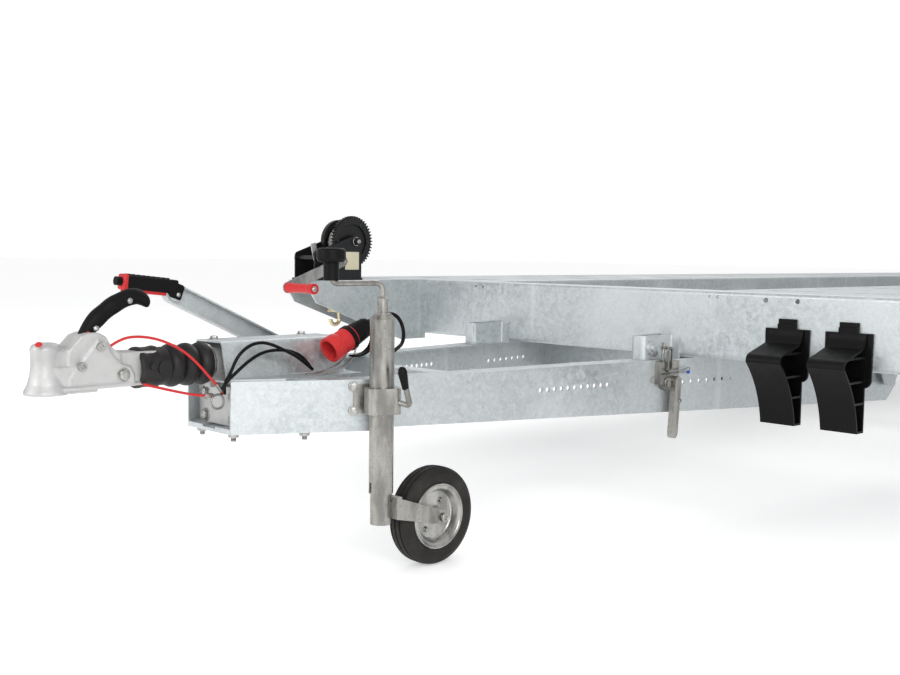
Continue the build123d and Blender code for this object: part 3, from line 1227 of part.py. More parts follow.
def frame_plate():
    """Side outline of one winch plate: round over the drum's shaft, sloping to the front."""
    front_top = DECK_HEIGHT + FRAME_FRONT_RISE
    boss = Pos(WINCH_X, WINCH_Z) * Circle(FRAME_BOSS_RADIUS)
    body = make_face(Polyline((WINCH_REAR_X, DECK_HEIGHT), (WINCH_FRONT_X, DECK_HEIGHT),
                              (WINCH_FRONT_X, front_top), (WINCH_X, WINCH_Z + FRAME_BOSS_RADIUS),
                              (WINCH_REAR_X, WINCH_Z), close=True))
    body = fillet(body.vertices().sort_by_distance((WINCH_FRONT_X, front_top))[0], FRAME_CORNER)
    holes = Pos(WINCH_X, WINCH_Z) * Circle(DRUM_SHAFT_RADIUS + RUNNING_FIT)
    holes += Pos(PINION_X, PINION_Z) * Circle(CRANK_SHAFT_RADIUS + RUNNING_FIT)
    return body + boss - holes


def winch_frame():
    """Base, two side plates that hold the shafts, and a tie rod across their front."""
    base = DECK_HEIGHT
    frame = block(WINCH_REAR_X, WINCH_FRONT_X + FRAME_BASE_LIP, WINCH_RIGHT - FRAME_BASE_LIP,
                  WINCH_LEFT + FRAME_BASE_LIP, base, base + WINCH_FOOT)
    for side in (WINCH_LEFT, WINCH_RIGHT + WINCH_PLATE):
        frame += extrude(upright(side) * frame_plate(), amount=WINCH_PLATE)
    x = WINCH_FRONT_X - TIE_ROD_INSET
    z = base + FRAME_FRONT_RISE - TIE_ROD_INSET
    frame += across(x, WINCH_RIGHT, WINCH_LEFT, z, TIE_ROD_RADIUS)
    for side, end in ((WINCH_LEFT, 1), (WINCH_RIGHT, -1)):
        frame += across(x, side, side + end * WINCH_PLATE, z, 2 * TIE_ROD_RADIUS)
    return frame


def toothed(teeth, radius, turn, width):
    """A spur gear's outline: straight-sided teeth about a root circle."""
    step = 2 * pi / teeth
    root, tip = radius - TOOTH_DEPTH_SHARE * GEAR_MODULE, radius + GEAR_MODULE
    points = []
    for tooth in range(teeth):
        middle = turn + tooth * step
        for share, reach in ((-TOOTH_ROOT_SHARE, root), (-TOOTH_TIP_SHARE, tip),
                             (TOOTH_TIP_SHARE, tip), (TOOTH_ROOT_SHARE, root)):
            angle = middle + share * step
            points.append((reach * cos(angle), reach * sin(angle)))
    return extrude(make_face(Polyline(*points, close=True)), amount=width)


TOOTH_DEPTH_SHARE = 1.15
TOOTH_ROOT_SHARE = 0.27
TOOTH_TIP_SHARE = 0.12
GEAR_LEFT = WINCH_LEFT - GEAR_INSET
GEAR_SIDE = GEAR_LEFT - GEAR_FACE


def upright_gear(gear, x, z, side):
    """Stands a gear drawn flat, its face towards the left side."""
    frame = Plane((x, side, z), x_dir=(1, 0, 0), z_dir=(0, -1, 0))
    return frame * Pos(0, 0, -GEAR_FACE) * gear


def winch_drum():
    """Large gear with a raised rim, shaft with its bolt heads, and the flanged drum."""
    gear = upright_gear(toothed(GEAR_TEETH, GEAR_RADIUS, radians(PINION_ANGLE), GEAR_FACE),
                        WINCH_X, WINCH_Z, GEAR_SIDE)
    dish = across(WINCH_X, GEAR_LEFT - GEAR_DISH, GEAR_LEFT + OVERRUN, WINCH_Z,
                  GEAR_RADIUS * GEAR_DISH_SHARE)
    dish -= across(WINCH_X, GEAR_LEFT - GEAR_DISH, GEAR_LEFT + OVERRUN, WINCH_Z,
                   2 * DRUM_SHAFT_RADIUS)
    gear -= dish
    shaft = across(WINCH_X, WINCH_RIGHT - SHAFT_END, WINCH_LEFT + SHAFT_END, WINCH_Z,
                   DRUM_SHAFT_RADIUS)
    for face, end in ((WINCH_LEFT + PLATE_GAP, 1), (WINCH_RIGHT - PLATE_GAP, -1)):
        head = Plane((WINCH_X, face, WINCH_Z), x_dir=(1, 0, 0), z_dir=(0, end, 0))
        shaft += extrude(head * RegularPolygon(DRUM_SHAFT_RADIUS * HEAD_SHARE, 6),
                         amount=SHAFT_END)
    far = WINCH_RIGHT + WINCH_PLATE + DRUM_SIDE_GAP
    drum = across(WINCH_X, far, GEAR_SIDE, WINCH_Z, DRUM_CORE_RADIUS)
    for side in (far, GEAR_SIDE - DRUM_FLANGE_WALL):
        drum += across(WINCH_X, side, side + DRUM_FLANGE_WALL, WINCH_Z, DRUM_FLANGE_RADIUS)
    rim = across(WINCH_X, far, far + DRUM_RIM_WIDTH, WINCH_Z, DRUM_FLANGE_RADIUS)
    rim -= across(WINCH_X, far - OVERRUN, far + DRUM_RIM_WIDTH + OVERRUN, WINCH_Z,
                  DRUM_FLANGE_RADIUS - DRUM_FLANGE_WALL)
    return gear + shaft + drum + rim


GEAR_DISH = 5.0
GEAR_DISH_SHARE = 0.7
SHAFT_END = 9.0
PLATE_GAP = 1.0
HEAD_SHARE = 1.3
DRUM_SIDE_GAP = 4.0
DRUM_CORE_RADIUS = 16.0
DRUM_FLANGE_RADIUS = 62.0
DRUM_FLANGE_WALL = 3.0
DRUM_RIM_WIDTH = 14.0


def strap_roll():
    """The webbing wound on the drum."""
    left = GEAR_SIDE - DRUM_FLANGE_WALL
    right = left - STRAP_WIDTH
    roll = across(WINCH_X, right, left, WINCH_Z, STRAP_ROLL_RADIUS)
    return roll - across(WINCH_X, right - OVERRUN, left + OVERRUN, WINCH_Z, DRUM_CORE_RADIUS)


def winch_crank():
    """Pinion, shaft and flat crank arm."""
    pinion_turn = radians(PINION_ANGLE + 180.0) + pi / PINION_TEETH
    pinion = upright_gear(toothed(PINION_TEETH, PINION_RADIUS, pinion_turn, GEAR_FACE), PINION_X,
                          PINION_Z, GEAR_SIDE)
    outer = WINCH_LEFT + CRANK_STANDOFF
    shaft = across(PINION_X, WINCH_RIGHT - SHAFT_END, outer + CRANK_BAR_WALL + SHAFT_END,
                   PINION_Z, CRANK_SHAFT_RADIUS)
    tip_x, tip_z = crank_tip()
    length = WINCH_CRANK_LENGTH + CRANK_BAR_WIDTH
    bar = Rot(0, 0, CRANK_ANGLE) * Pos(WINCH_CRANK_LENGTH / 2, 0) * SlotOverall(
        length, CRANK_BAR_WIDTH)
    bar = extrude(upright(outer + CRANK_BAR_WALL) * Pos(PINION_X, PINION_Z) * bar,
                  amount=CRANK_BAR_WALL)
    pin = across(tip_x, outer, outer + CRANK_BAR_WALL + WINCH_GRIP_LENGTH, tip_z,
                 GRIP_PIN_RADIUS)
    return pinion + shaft + bar + pin


def crank_tip():
    angle = radians(CRANK_ANGLE)
    return (PINION_X + WINCH_CRANK_LENGTH * cos(angle), PINION_Z + WINCH_CRANK_LENGTH * sin(angle))


def winch_grip():
    """The grip on the crank's pin, its ends and middle a little thicker."""
    outer = WINCH_LEFT + CRANK_STANDOFF + CRANK_BAR_WALL
    x, z = crank_tip()
    waist = WINCH_GRIP_RADIUS - GRIP_WAIST
    profile = [(GRIP_PIN_RADIUS, 0), (WINCH_GRIP_RADIUS, 0),
               (WINCH_GRIP_RADIUS, WINCH_GRIP_RADIUS), (waist, 2 * WINCH_GRIP_RADIUS),
               (waist, WINCH_GRIP_LENGTH - 2 * WINCH_GRIP_RADIUS),
               (WINCH_GRIP_RADIUS, WINCH_GRIP_LENGTH - WINCH_GRIP_RADIUS),
               (WINCH_GRIP_RADIUS, WINCH_GRIP_LENGTH), (GRIP_PIN_RADIUS, WINCH_GRIP_LENGTH)]
    return turned(profile, (x, outer, z))


CRANK_ANGLE = -21.0
CRANK_STANDOFF = 20.0
CRANK_BAR_WALL = 5.0
CRANK_BAR_WIDTH = 30.0
GRIP_PIN_RADIUS = 5.0
GRIP_WAIST = 1.5


def winch_hook():
    """The strap's hook: a bent bar with an eye that the strap's end is sewn through."""
    x, centre = at(HOOK_STATION), HOOK_BOTTOM + HOOK_WIRE_RADIUS + HOOK_BEND_RADIUS
    arc = ThreePointArc((HOOK_BEND_RADIUS, 0), (0, -HOOK_BEND_RADIUS), (-HOOK_BEND_RADIUS, 0))
    shank = Line((-HOOK_BEND_RADIUS, 0), (-HOOK_BEND_RADIUS, HOOK_LENGTH - HOOK_BEND_RADIUS))
    path = upright(ARM_CENTRE) * Pos(x, centre) * Wire([arc, shank])
    hook = sweep(Plane(path @ 0, z_dir=path % 0) * Circle(HOOK_WIRE_RADIUS), path=path)
    top = centre + HOOK_LENGTH - HOOK_BEND_RADIUS
    eye = block(x - HOOK_BEND_RADIUS - 2 * HOOK_WIRE_RADIUS, x + HOOK_WIRE_RADIUS,
                ARM_CENTRE - HOOK_EYE_HALF, ARM_CENTRE + HOOK_EYE_HALF, top - HOOK_WIRE_RADIUS,
                top + HOOK_WIRE_RADIUS)
    return hook + eye


HOOK_EYE_HALF = 27.0


def strap_tail():
    """The webbing between the hook's eye and the arm's top plate."""
    x = at(HOOK_STATION) - HOOK_BEND_RADIUS
    low = HOOK_BOTTOM + 2 * HOOK_WIRE_RADIUS + HOOK_LENGTH
    return block(x - STRAP_TAIL_WALL / 2, x + STRAP_TAIL_WALL / 2, ARM_CENTRE - STRAP_WIDTH / 2,
                 ARM_CENTRE + STRAP_WIDTH / 2, low, DECK_HEIGHT - ARM_PLATE)


# Chocks

def chock_outline():
    """Side outline of one chock: flat back, sloping head, round nose and a hollow face."""
    back, top = at(HOLDER_WALL), CHOCK_TOP
    shoulder = (back + CHOCK_SHOULDER_REACH, top - CHOCK_SHOULDER_DROP)
    head = (back + CHOCK_HEAD_REACH, top - CHOCK_HEAD_DROP)
    nose = (back + CHOCK_NOSE_REACH, top - CHOCK_NOSE_DROP)
    toe = (back + CHOCK_TOE, top - CHOCK_LENGTH)
    bulge = ((nose[0] + toe[0]) / 2 - CHOCK_HOLLOW, (nose[1] + toe[1]) / 2)
    dip = ((back + shoulder[0]) / 2, (top + 2 * shoulder[1]) / 3)
    tip = ((head[0] + nose[0]) / 2 + CHOCK_WALL, (head[1] + nose[1]) / 2 + CHOCK_WALL / 2)
    return make_face([ThreePointArc((back + CHOCK_WALL, top), dip, shoulder), Line(shoulder, head),
                      ThreePointArc(head, tip, nose), ThreePointArc(nose, bulge, toe),
                      Polyline(toe, (back, top - CHOCK_LENGTH), (back, top),
                               (back + CHOCK_WALL, top))])


def chock(place):
    """A moulded wedge: a rim round a middle web, with ribs across the open sides."""
    outline = chock_outline()
    inside = offset(outline, -CHOCK_WALL)
    left = place + CHOCK_WIDTH / 2
    body = extrude(upright(left) * (outline - inside), amount=CHOCK_WIDTH)
    body += extrude(upright(place + CHOCK_WEB / 2) * outline, amount=CHOCK_WEB)
    back, bottom = at(HOLDER_WALL), CHOCK_TOP - CHOCK_LENGTH
    for share in CHOCK_RIB_SHARES:
        height = bottom + share * CHOCK_LENGTH
        rib = Pos(back + CHOCK_NOSE_REACH / 2, height) * Rectangle(CHOCK_NOSE_REACH, CHOCK_WALL)
        body += extrude(upright(left) * (rib & outline), amount=CHOCK_WIDTH)
    return body


def chocks():
    return [chock(place) for place in CHOCK_SIDES]


def chock_holders():
    """Plates on the beam with round lower corners, and a clip above each chock."""
    plates = []
    for place in CHOCK_SIDES:
        middle = (CHOCK_TOP + HOLDER_BOTTOM) / 2
        face = Plane((at(0), place, middle), x_dir=(0, 1, 0), z_dir=(1, 0, 0))
        outline = Rectangle(HOLDER_WIDTH, CHOCK_TOP - HOLDER_BOTTOM)
        outline = fillet(outline.vertices().group_by(Axis.Y)[0], HOLDER_CORNER)
        plate = extrude(face * outline, amount=HOLDER_WALL)
        half = CLIP_WIDTH / 2
        plate += block(at(0), at(HOLDER_WALL), place - half, place + half, CHOCK_TOP,
                       CHOCK_TOP + CLIP_HEIGHT)
        plate += block(at(HOLDER_WALL), at(CLIP_DEPTH), place - half, place + half, CHOCK_TOP,
                       CHOCK_TOP + CLIP_HEIGHT / 2)
        plates.append(plate)
    return plates


# Ramps

RAMP_INSET = 20.0
RAMP_TOP = BEAM_BOTTOM - RAMP_TOP_GAP
RAMP_BOTTOM = RAMP_TOP - RAMP_HEIGHT


def ramp():
    """A ladder ramp: two channels and their rungs."""
    rear = at(-BED_LENGTH + RAMP_INSET)
    half = RAMP_WIDTH / 2
    left = channel((rear + RAMP_LENGTH, RAMP_CENTRE + half, RAMP_BOTTOM), (-1, 0, 0), (0, -1, 0),
                   RAMP_LENGTH, RAMP_HEIGHT, RAMP_RAIL, RAMP_RAIL_WALL, RAMP_RAIL_WALL * 2)
    right = channel((rear, RAMP_CENTRE - half, RAMP_BOTTOM), (1, 0, 0), (0, 1, 0), RAMP_LENGTH,
                    RAMP_HEIGHT, RAMP_RAIL, RAMP_RAIL_WALL, RAMP_RAIL_WALL * 2)
    body = left + right
    pitch = RAMP_LENGTH / RAMP_RUNGS
    for number in range(RAMP_RUNGS):
        x = rear + (number + 1 / 2) * pitch
        body += block(x - RAMP_RAIL, x + RAMP_RAIL, RAMP_CENTRE - half + RAMP_RAIL_WALL,
                      RAMP_CENTRE + half - RAMP_RAIL_WALL, RAMP_TOP - RAMP_RAIL, RAMP_TOP
                      - RAMP_RAIL_WALL)
    return body


def ramp_guides():
    """Angles hung from the cross members that the left ramp slides in."""
    front = at(AXLE_MEMBER)
    rear = at(LAST_MEMBER - MEMBER_FLANGE)
    half = RAMP_WIDTH / 2 + GUIDE_GAP
    guides = []
    for side in (-1, 1):
        y = RAMP_CENTRE + side * half
        low = RAMP_BOTTOM - REST_GAP - GUIDE_WALL
        guide = block(rear, front, y, y + side * GUIDE_WALL, low, MEMBER_BOTTOM)
        guide += block(rear, front, y - side * (GUIDE_GAP + RAMP_RAIL), y, low, low + GUIDE_WALL)
        guides.append(guide)
    return guides


# Rear lamps and plate

def lamps():
    boxes = []
    for side in (-1, 1):
        y = side * LAMP_CENTRE
        low = BEAM_BOTTOM + (BEAM_HEIGHT - LAMP_HEIGHT) / 2
        lamp = block(at(-BED_LENGTH), at(-BED_LENGTH - LAMP_DEPTH), y - LAMP_LENGTH / 2,
                     y + LAMP_LENGTH / 2, low, low + LAMP_HEIGHT)
        lamp = fillet(lamp.edges().group_by(Axis.X)[0], LAMP_ROUND)
        boxes.append(lamp)
    return boxes


LAMP_ROUND = 10.0


def number_plate():
    low = BEAM_BOTTOM + (BEAM_HEIGHT - PLATE_HEIGHT) / 2
    return block(at(-BED_LENGTH), at(-BED_LENGTH - PLATE_WALL), -PLATE_LENGTH / 2,
                 PLATE_LENGTH / 2, low, low + PLATE_HEIGHT)


# Writing the pieces

def write(name, shapes):
    """One file per piece; a list becomes one file of separate solids."""
    if isinstance(shapes, list):
        shapes = Compound(children=[solid for shape in shapes for solid in shape.solids()])
    export_step(shapes, os.path.join("parts", name + ".step"))


def main():
    os.makedirs("parts", exist_ok=True)
    write("front_beam", front_beam())
    write("side_beam_left", side_beam())
    write("side_beam_right", mirrored(side_beam()))
    write("rear_beam", rear_beam())
    write("cross_members", cross_members())
    write("runway_left", runway())
    write("runway_right", mirrored(runway()))
    write("axle_carriers", carriers())
    write("mudguards", guards() + [mirrored(arch) for arch in guards()])
    write("pivot_hangers", pivot_hangers())
    write("bed_feet", feet())
    write("winch_arm", winch_arm())
    write("winch_frame", winch_frame())
    write("winch_drum", winch_drum())
    write("winch_strap", strap_roll())
    write("winch_hook", winch_hook())
    write("strap_tail", strap_tail())
    write("winch_crank", winch_crank())
    write("winch_grip", winch_grip())
    write("wheel_chocks", chocks())
    write("chock_holders", chock_holders())
    write("ramp_left", ramp())
    write("ramp_right", mirrored(ramp()))
    write("ramp_guides", ramp_guides() + [mirrored(guide) for guide in ramp_guides()])
    write("rear_lamps", lamps())
    write("number_plate", number_plate())
    write("drawbar_left", drawbar_rail())
    write("drawbar_right", mirrored(drawbar_rail()))
    write("drawbar_ties", drawbar_ties())
    write("latch", latch())
    write("overrun_cover", overrun_cover())
    write("overrun_housing", overrun_housing())
    write("bellows", bellows())
    write("coupling_head", coupling_head())
    write("coupling_handle", coupling_handle())
    write("handbrake_lever", brake_lever())
    write("handbrake_grip", brake_grip())
    write("jockey_clamp", jockey_clamp())
    write("jockey_tube", jockey_tube())
    write("jockey_knob", crank_knob())
    write("jockey_nut", jockey_nut())
    write("jockey_fork", jockey_fork())
    write("jockey_tyre", jockey_tyre())
    write("jockey_rim", jockey_rim())
    front_axle, rear_axle = (AXLE_STATION + side * AXLE_SPREAD / 2 for side in (1, -1))
    write("axle_arms", axle_arms(front_axle) + axle_arms(rear_axle))
    for end, station in (("front", front_axle), ("rear", rear_axle)):
        write("axle_" + end, axle_beam(station))
        for hand, side in (("left", 1), ("right", -1)):
            write("tyre_" + end + "_" + hand, tyre(station, side))
            write("rim_" + end + "_" + hand, rim(station, side))


main()
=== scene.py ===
"""Dresses the tilt-bed car hauler trailer: finishes for every piece, trim and the studio."""

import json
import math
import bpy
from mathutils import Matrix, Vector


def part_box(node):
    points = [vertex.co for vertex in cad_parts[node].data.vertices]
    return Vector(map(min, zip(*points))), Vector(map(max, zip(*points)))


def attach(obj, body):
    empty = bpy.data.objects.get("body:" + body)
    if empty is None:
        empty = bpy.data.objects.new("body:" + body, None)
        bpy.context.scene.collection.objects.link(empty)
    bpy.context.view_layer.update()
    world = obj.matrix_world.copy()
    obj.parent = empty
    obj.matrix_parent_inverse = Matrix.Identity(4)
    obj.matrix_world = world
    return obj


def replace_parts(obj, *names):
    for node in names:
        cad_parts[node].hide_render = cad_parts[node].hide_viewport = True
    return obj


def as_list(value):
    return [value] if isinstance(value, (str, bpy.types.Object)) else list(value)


bl_info = {
    "name": "Car Hauler Trailer",
    "version": (1, 0, 0),
    "blender": (4, 5, 0),
    "location": "View3D > Sidebar > Trailer",
    "description": "Adds finishes, trim, cables and a studio to the car hauler trailer",
    "category": "Object",
}

import bpy
from mathutils import Matrix, Vector

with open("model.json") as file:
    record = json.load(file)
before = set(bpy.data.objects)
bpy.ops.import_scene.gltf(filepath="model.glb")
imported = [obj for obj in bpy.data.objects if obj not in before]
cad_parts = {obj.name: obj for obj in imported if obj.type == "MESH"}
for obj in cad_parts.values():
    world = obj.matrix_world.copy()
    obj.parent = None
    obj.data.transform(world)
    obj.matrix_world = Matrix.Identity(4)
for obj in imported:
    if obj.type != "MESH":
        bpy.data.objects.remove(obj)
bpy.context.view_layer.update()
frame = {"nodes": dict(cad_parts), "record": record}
NODES = frame["nodes"]

# The front face of the bed's front beam, which the camera is placed from
BED_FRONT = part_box("front_beam")[1].x

# Directions
AHEAD, BACK = (1.0, 0.0, 0.0), (-1.0, 0.0, 0.0)
LEFT, RIGHT = (0.0, 1.0, 0.0), (0.0, -1.0, 0.0)
UP, DOWN = (0.0, 0.0, 1.0), (0.0, 0.0, -1.0)


# Settings

def colour_setting(name, description, default):
    return bpy.props.FloatVectorProperty(name=name, description=description, subtype="COLOR",
                                         size=3, default=default, min=0.0, max=1.0)


def length_setting(name, description, default):
    return bpy.props.FloatProperty(name=name, description=description, unit="LENGTH",
                                   default=default)


def angle_setting(name, description, degrees):
    return bpy.props.FloatProperty(name=name, description=description, subtype="ANGLE",
                                   default=math.radians(degrees))


class TrailerColours(bpy.types.PropertyGroup):
    """Colours of the finishes"""
    zinc_dark: colour_setting(
        "Zinc, dark", "Darker spangle of the galvanised steel", (0.40, 0.43, 0.44))
    zinc_light: colour_setting(
        "Zinc, light", "Lighter spangle of the galvanised steel", (0.60, 0.64, 0.65))
    zinc_bloom: colour_setting(
        "Zinc bloom", "Pale oxide that clouds the galvanised steel", (0.76, 0.78, 0.785))
    bright_zinc: colour_setting(
        "Bright zinc", "Electroplated small steel parts", (0.47, 0.465, 0.445))
    casting: colour_setting(
        "Casting", "Cast body of the coupling", (0.52, 0.52, 0.515))
    red: colour_setting(
        "Red", "Red plastic of the grip, collar and cable", (0.54, 0.034, 0.036))
    black: colour_setting(
        "Black", "Moulded black plastic", (0.004, 0.004, 0.004))


class TrailerStudio(bpy.types.PropertyGroup):
    """Camera and light"""
    camera_ahead: length_setting(
        "Camera ahead", "Distance of the camera ahead of the front beam", 2.2997)
    camera_left: length_setting(
        "Camera left", "Distance of the camera left of the centre line", 1.8560)
    camera_height: length_setting(
        "Camera height", "Height of the camera above the floor", 0.6334)
    camera_yaw: angle_setting(
        "Camera yaw", "Turn of the camera from looking rearwards to the right", 45.39)
    camera_pitch: angle_setting(
        "Camera pitch", "Tilt of the camera down from level", 4.38)
    camera_roll: angle_setting(
        "Camera roll", "Roll of the camera", 0.78)
    lens: bpy.props.FloatProperty(
        name="Lens", description="Focal length on a 36 mm wide sensor, in millimetres",
        default=44.51, min=10.0)
    floor_size: length_setting("Floor size", "Width of the floor", 120.0)
    sky: bpy.props.FloatProperty(
        name="Sky", description="Strength of the studio's even light", default=1.02, min=0.0)


# Shader helpers

def mixed(tree, factor, first, second):
    """A mix of two colours, each a value or a socket."""
    node = tree.nodes.new("ShaderNodeMix")
    node.data_type = "RGBA"
    sockets = {socket.identifier: socket for socket in node.inputs}
    tree.links.new(factor, sockets["Factor_Float"])
    for name, value in (("A_Color", first), ("B_Color", second)):
        if isinstance(value, bpy.types.NodeSocket):
            tree.links.new(value, sockets[name])
        else:
            sockets[name].default_value = (*value, 1.0)
    return next(socket for socket in node.outputs if socket.identifier == "Result_Color")


class Shader:
    """A material's node tree, with short names for the nodes that the finishes use."""

    def __init__(self, name):
        self.material = bpy.data.materials.new(name)
        self.material.use_nodes = True
        self.nodes = self.material.node_tree.nodes
        self.links = self.material.node_tree.links
        self.shader = self.nodes["Principled BSDF"]
        self.place = self.nodes.new("ShaderNodeTexCoord").outputs["Object"]

    def link(self, source, target):
        if isinstance(target, str):
            target = self.shader.inputs[target]
        self.links.new(source, target)

    def set(self, **values):
        """Sets the shader's own sockets; underscores stand for spaces."""
        for name, value in values.items():
            if isinstance(value, tuple):
                value = (*value, 1.0)
            self.shader.inputs[name.replace("_", " ")].default_value = value

    def noise(self, scale, detail=3.0, roughness=0.55, stretch=None):
        node = self.nodes.new("ShaderNodeTexNoise")
        node.inputs["Scale"].default_value = scale
        node.inputs["Detail"].default_value = detail
        node.inputs["Roughness"].default_value = roughness
        self.link(self.stretched(stretch), node.inputs["Vector"])
        return node.outputs["Fac"]

    def stretched(self, stretch):
        if stretch is None:
            return self.place
        mapping = self.nodes.new("ShaderNodeMapping")
        mapping.inputs["Scale"].default_value = stretch
        self.link(self.place, mapping.inputs["Vector"])
        return mapping.outputs["Vector"]

    def cells(self, scale, blur):
        """A random grey for each cell, with edges that a noise moves by the blur."""
        warp = self.nodes.new("ShaderNodeTexNoise")
        warp.inputs["Scale"].default_value = scale
        self.link(self.place, warp.inputs["Vector"])
        shift = self.nodes.new("ShaderNodeVectorMath")
        shift.operation = "MULTIPLY_ADD"
        shift.inputs[1].default_value = (blur, blur, blur)
        self.link(warp.outputs["Color"], shift.inputs[0])
        self.link(self.place, shift.inputs[2])
        node = self.nodes.new("ShaderNodeTexVoronoi")
        node.inputs["Scale"].default_value = scale
        self.link(shift.outputs["Vector"], node.inputs["Vector"])
        split = self.nodes.new("ShaderNodeSeparateColor")
        self.link(node.outputs["Color"], split.inputs["Color"])
        return split.outputs["Red"]

    def span(self, source, low, high, to_low=0.0, to_high=1.0):
        node = self.nodes.new("ShaderNodeMapRange")
        node.interpolation_type = "SMOOTHSTEP"
        for name, value in (("From Min", low), ("From Max", high), ("To Min", to_low),
                            ("To Max", to_high)):
            node.inputs[name].default_value = value
        self.link(source, node.inputs["Value"])
        return node.outputs["Result"]

    def mix(self, factor, first, second):
        return mixed(self.material.node_tree, factor, first, second)

    def paint(self, factor, first, second):
        """The base colour, mixed from two by a factor."""
        self.link(self.mix(factor, first, second), "Base Color")

    def rough(self, scale, low, high):
        """Roughness that wanders between two values."""
        self.link(self.span(self.noise(scale), 0.3, 0.7, low, high), "Roughness")

    def ridges(self, scale):
        """Even ridges that follow one another from side to side."""
        wave = self.nodes.new("ShaderNodeTexWave")
        wave.bands_direction = "Y"
        wave.inputs["Scale"].default_value = scale
        self.link(self.place, wave.inputs["Vector"])
        return wave.outputs["Fac"]

    def maths(self, operation, first, second):
        node = self.nodes.new("ShaderNodeMath")
        node.operation = operation
        for socket, value in zip(node.inputs, (first, second)):
            if isinstance(value, bpy.types.NodeSocket):
                self.links.new(value, socket)
            else:
                socket.default_value = value
        return node.outputs["Value"]

    def bump(self, height, strength, distance):
        node = self.nodes.new("ShaderNodeBump")
        node.inputs["Strength"].default_value = strength
        node.inputs["Distance"].default_value = distance
        previous = self.shader.inputs["Normal"]
        if previous.is_linked:
            self.link(previous.links[0].from_socket, node.inputs["Normal"])
        self.link(height, node.inputs["Height"])
        self.link(node.outputs["Normal"], "Normal")


# Finishes, one function each

def galvanised(colours):
    s = Shader("galvanised_steel")
    grey = s.cells(95.0, 0.006)
    fine = s.cells(240.0, 0.003)
    clouds = s.span(s.noise(3.2, 4.0, 0.6), 0.42, 0.72)
    runs = s.span(s.noise(5.0, 3.0, 0.6, stretch=(3.0, 3.0, 0.25)), 0.55, 0.78, 0.0, 0.32)
    spangle = s.mix(s.maths("ADD", s.maths("MULTIPLY", grey, 0.45),
                            s.maths("MULTIPLY", fine, 0.35)),
                    colours.zinc_dark, colours.zinc_light)
    s.paint(s.maths("MAXIMUM", s.maths("MULTIPLY", clouds, 0.34), runs), spangle,
            colours.zinc_bloom)
    s.set(Metallic=0.72)
    s.link(s.maths("ADD", s.span(grey, 0.0, 1.0, 0.34, 0.50), s.maths("MULTIPLY", clouds, 0.14)),
           "Roughness")
    s.bump(s.noise(60.0, 4.0), 0.12, 0.0006)
    s.bump(s.noise(7.0, 2.0), 0.25, 0.0012)
    return s.material


def bright_zinc(name, colour):
    s = Shader(name)
    stains = s.span(s.noise(26.0, 5.0, 0.6, stretch=(1.0, 1.0, 0.30)), 0.40, 0.66)
    specks = s.span(s.noise(150.0, 3.0, 0.6), 0.50, 0.70, 0.0, 0.5)
    s.paint(s.maths("MAXIMUM", stains, specks), colour, [0.52 * c for c in colour])
    s.set(Metallic=0.88)
    s.rough(45.0, 0.24, 0.40)
    s.bump(s.noise(220.0, 2.0), 0.10, 0.0003)
    return s.material


def casting(colours):
    s = Shader("cast_metal")
    patches = s.span(s.noise(18.0, 4.0), 0.35, 0.7)
    s.paint(patches, colours.casting, [0.80 * c for c in colours.casting])
    s.set(Metallic=0.45)
    s.rough(60.0, 0.42, 0.60)
    s.bump(s.noise(420.0, 3.0, 0.7), 0.30, 0.0006)
    return s.material


def moulded(name, colour, roughness, grain=700.0, depth=0.12):
    """Moulded plastic: a fine grain, and a little dust in the colour."""
    s = Shader(name)
    dust = s.span(s.noise(9.0, 4.0), 0.45, 0.75)
    s.paint(dust, colour, [0.90 * c + 0.002 for c in colour])
    s.set(Specular_IOR_Level=0.12)
    s.rough(30.0, roughness - 0.05, roughness + 0.07)
    s.bump(s.noise(grain, 2.0), depth, 0.0002)
    return s.material


def black_paint():
    s = Shader("black_steel")
    scuffs = s.span(s.noise(24.0, 5.0, 0.65), 0.62, 0.74)
    s.paint(scuffs, (0.007, 0.007, 0.008), (0.022, 0.022, 0.023))
    s.set(Specular_IOR_Level=0.40)
    s.rough(40.0, 0.28, 0.42)
    s.bump(s.noise(300.0, 2.0), 0.14, 0.0003)
    return s.material


def rubber(name, dark, light, roughness):
    s = Shader(name)
    dust = s.span(s.noise(12.0, 5.0, 0.65), 0.38, 0.72)
    s.paint(dust, dark, light)
    s.set(Specular_IOR_Level=0.32)
    s.rough(50.0, roughness - 0.06, roughness + 0.08)
    s.bump(s.noise(260.0, 3.0), 0.15, 0.0004)
    return s.material


def webbing():
    s = Shader("strap")
    ridges = s.ridges(160.0)
    s.paint(ridges, (0.62, 0.60, 0.55), (0.38, 0.37, 0.34))
    s.set(Roughness=0.85)
    s.bump(ridges, 0.5, 0.0006)
    return s.material


def lens(name, bright, deep):
    s = Shader(name)
    ridges = s.ridges(40.0)
    s.paint(ridges, bright, deep)
    s.set(Roughness=0.12, Coat_Weight=0.6)
    s.bump(ridges, 0.3, 0.0008)
    return s.material


def plate():
    s = Shader("plate_white")
    s.paint(s.noise(8.0), (0.84, 0.84, 0.82), (0.72, 0.72, 0.70))
    s.set(Roughness=0.35)
    s.bump(s.noise(90.0), 0.05, 0.0003)
    return s.material


def passivated():
    s = Shader("brass_hook")
    sheen = s.span(s.noise(40.0, 3.0), 0.3, 0.7)
    s.paint(sheen, (0.72, 0.60, 0.34), (0.60, 0.52, 0.38))
    s.set(Metallic=0.9)
    s.rough(70.0, 0.24, 0.38)
    s.bump(s.noise(250.0), 0.08, 0.0003)
    return s.material


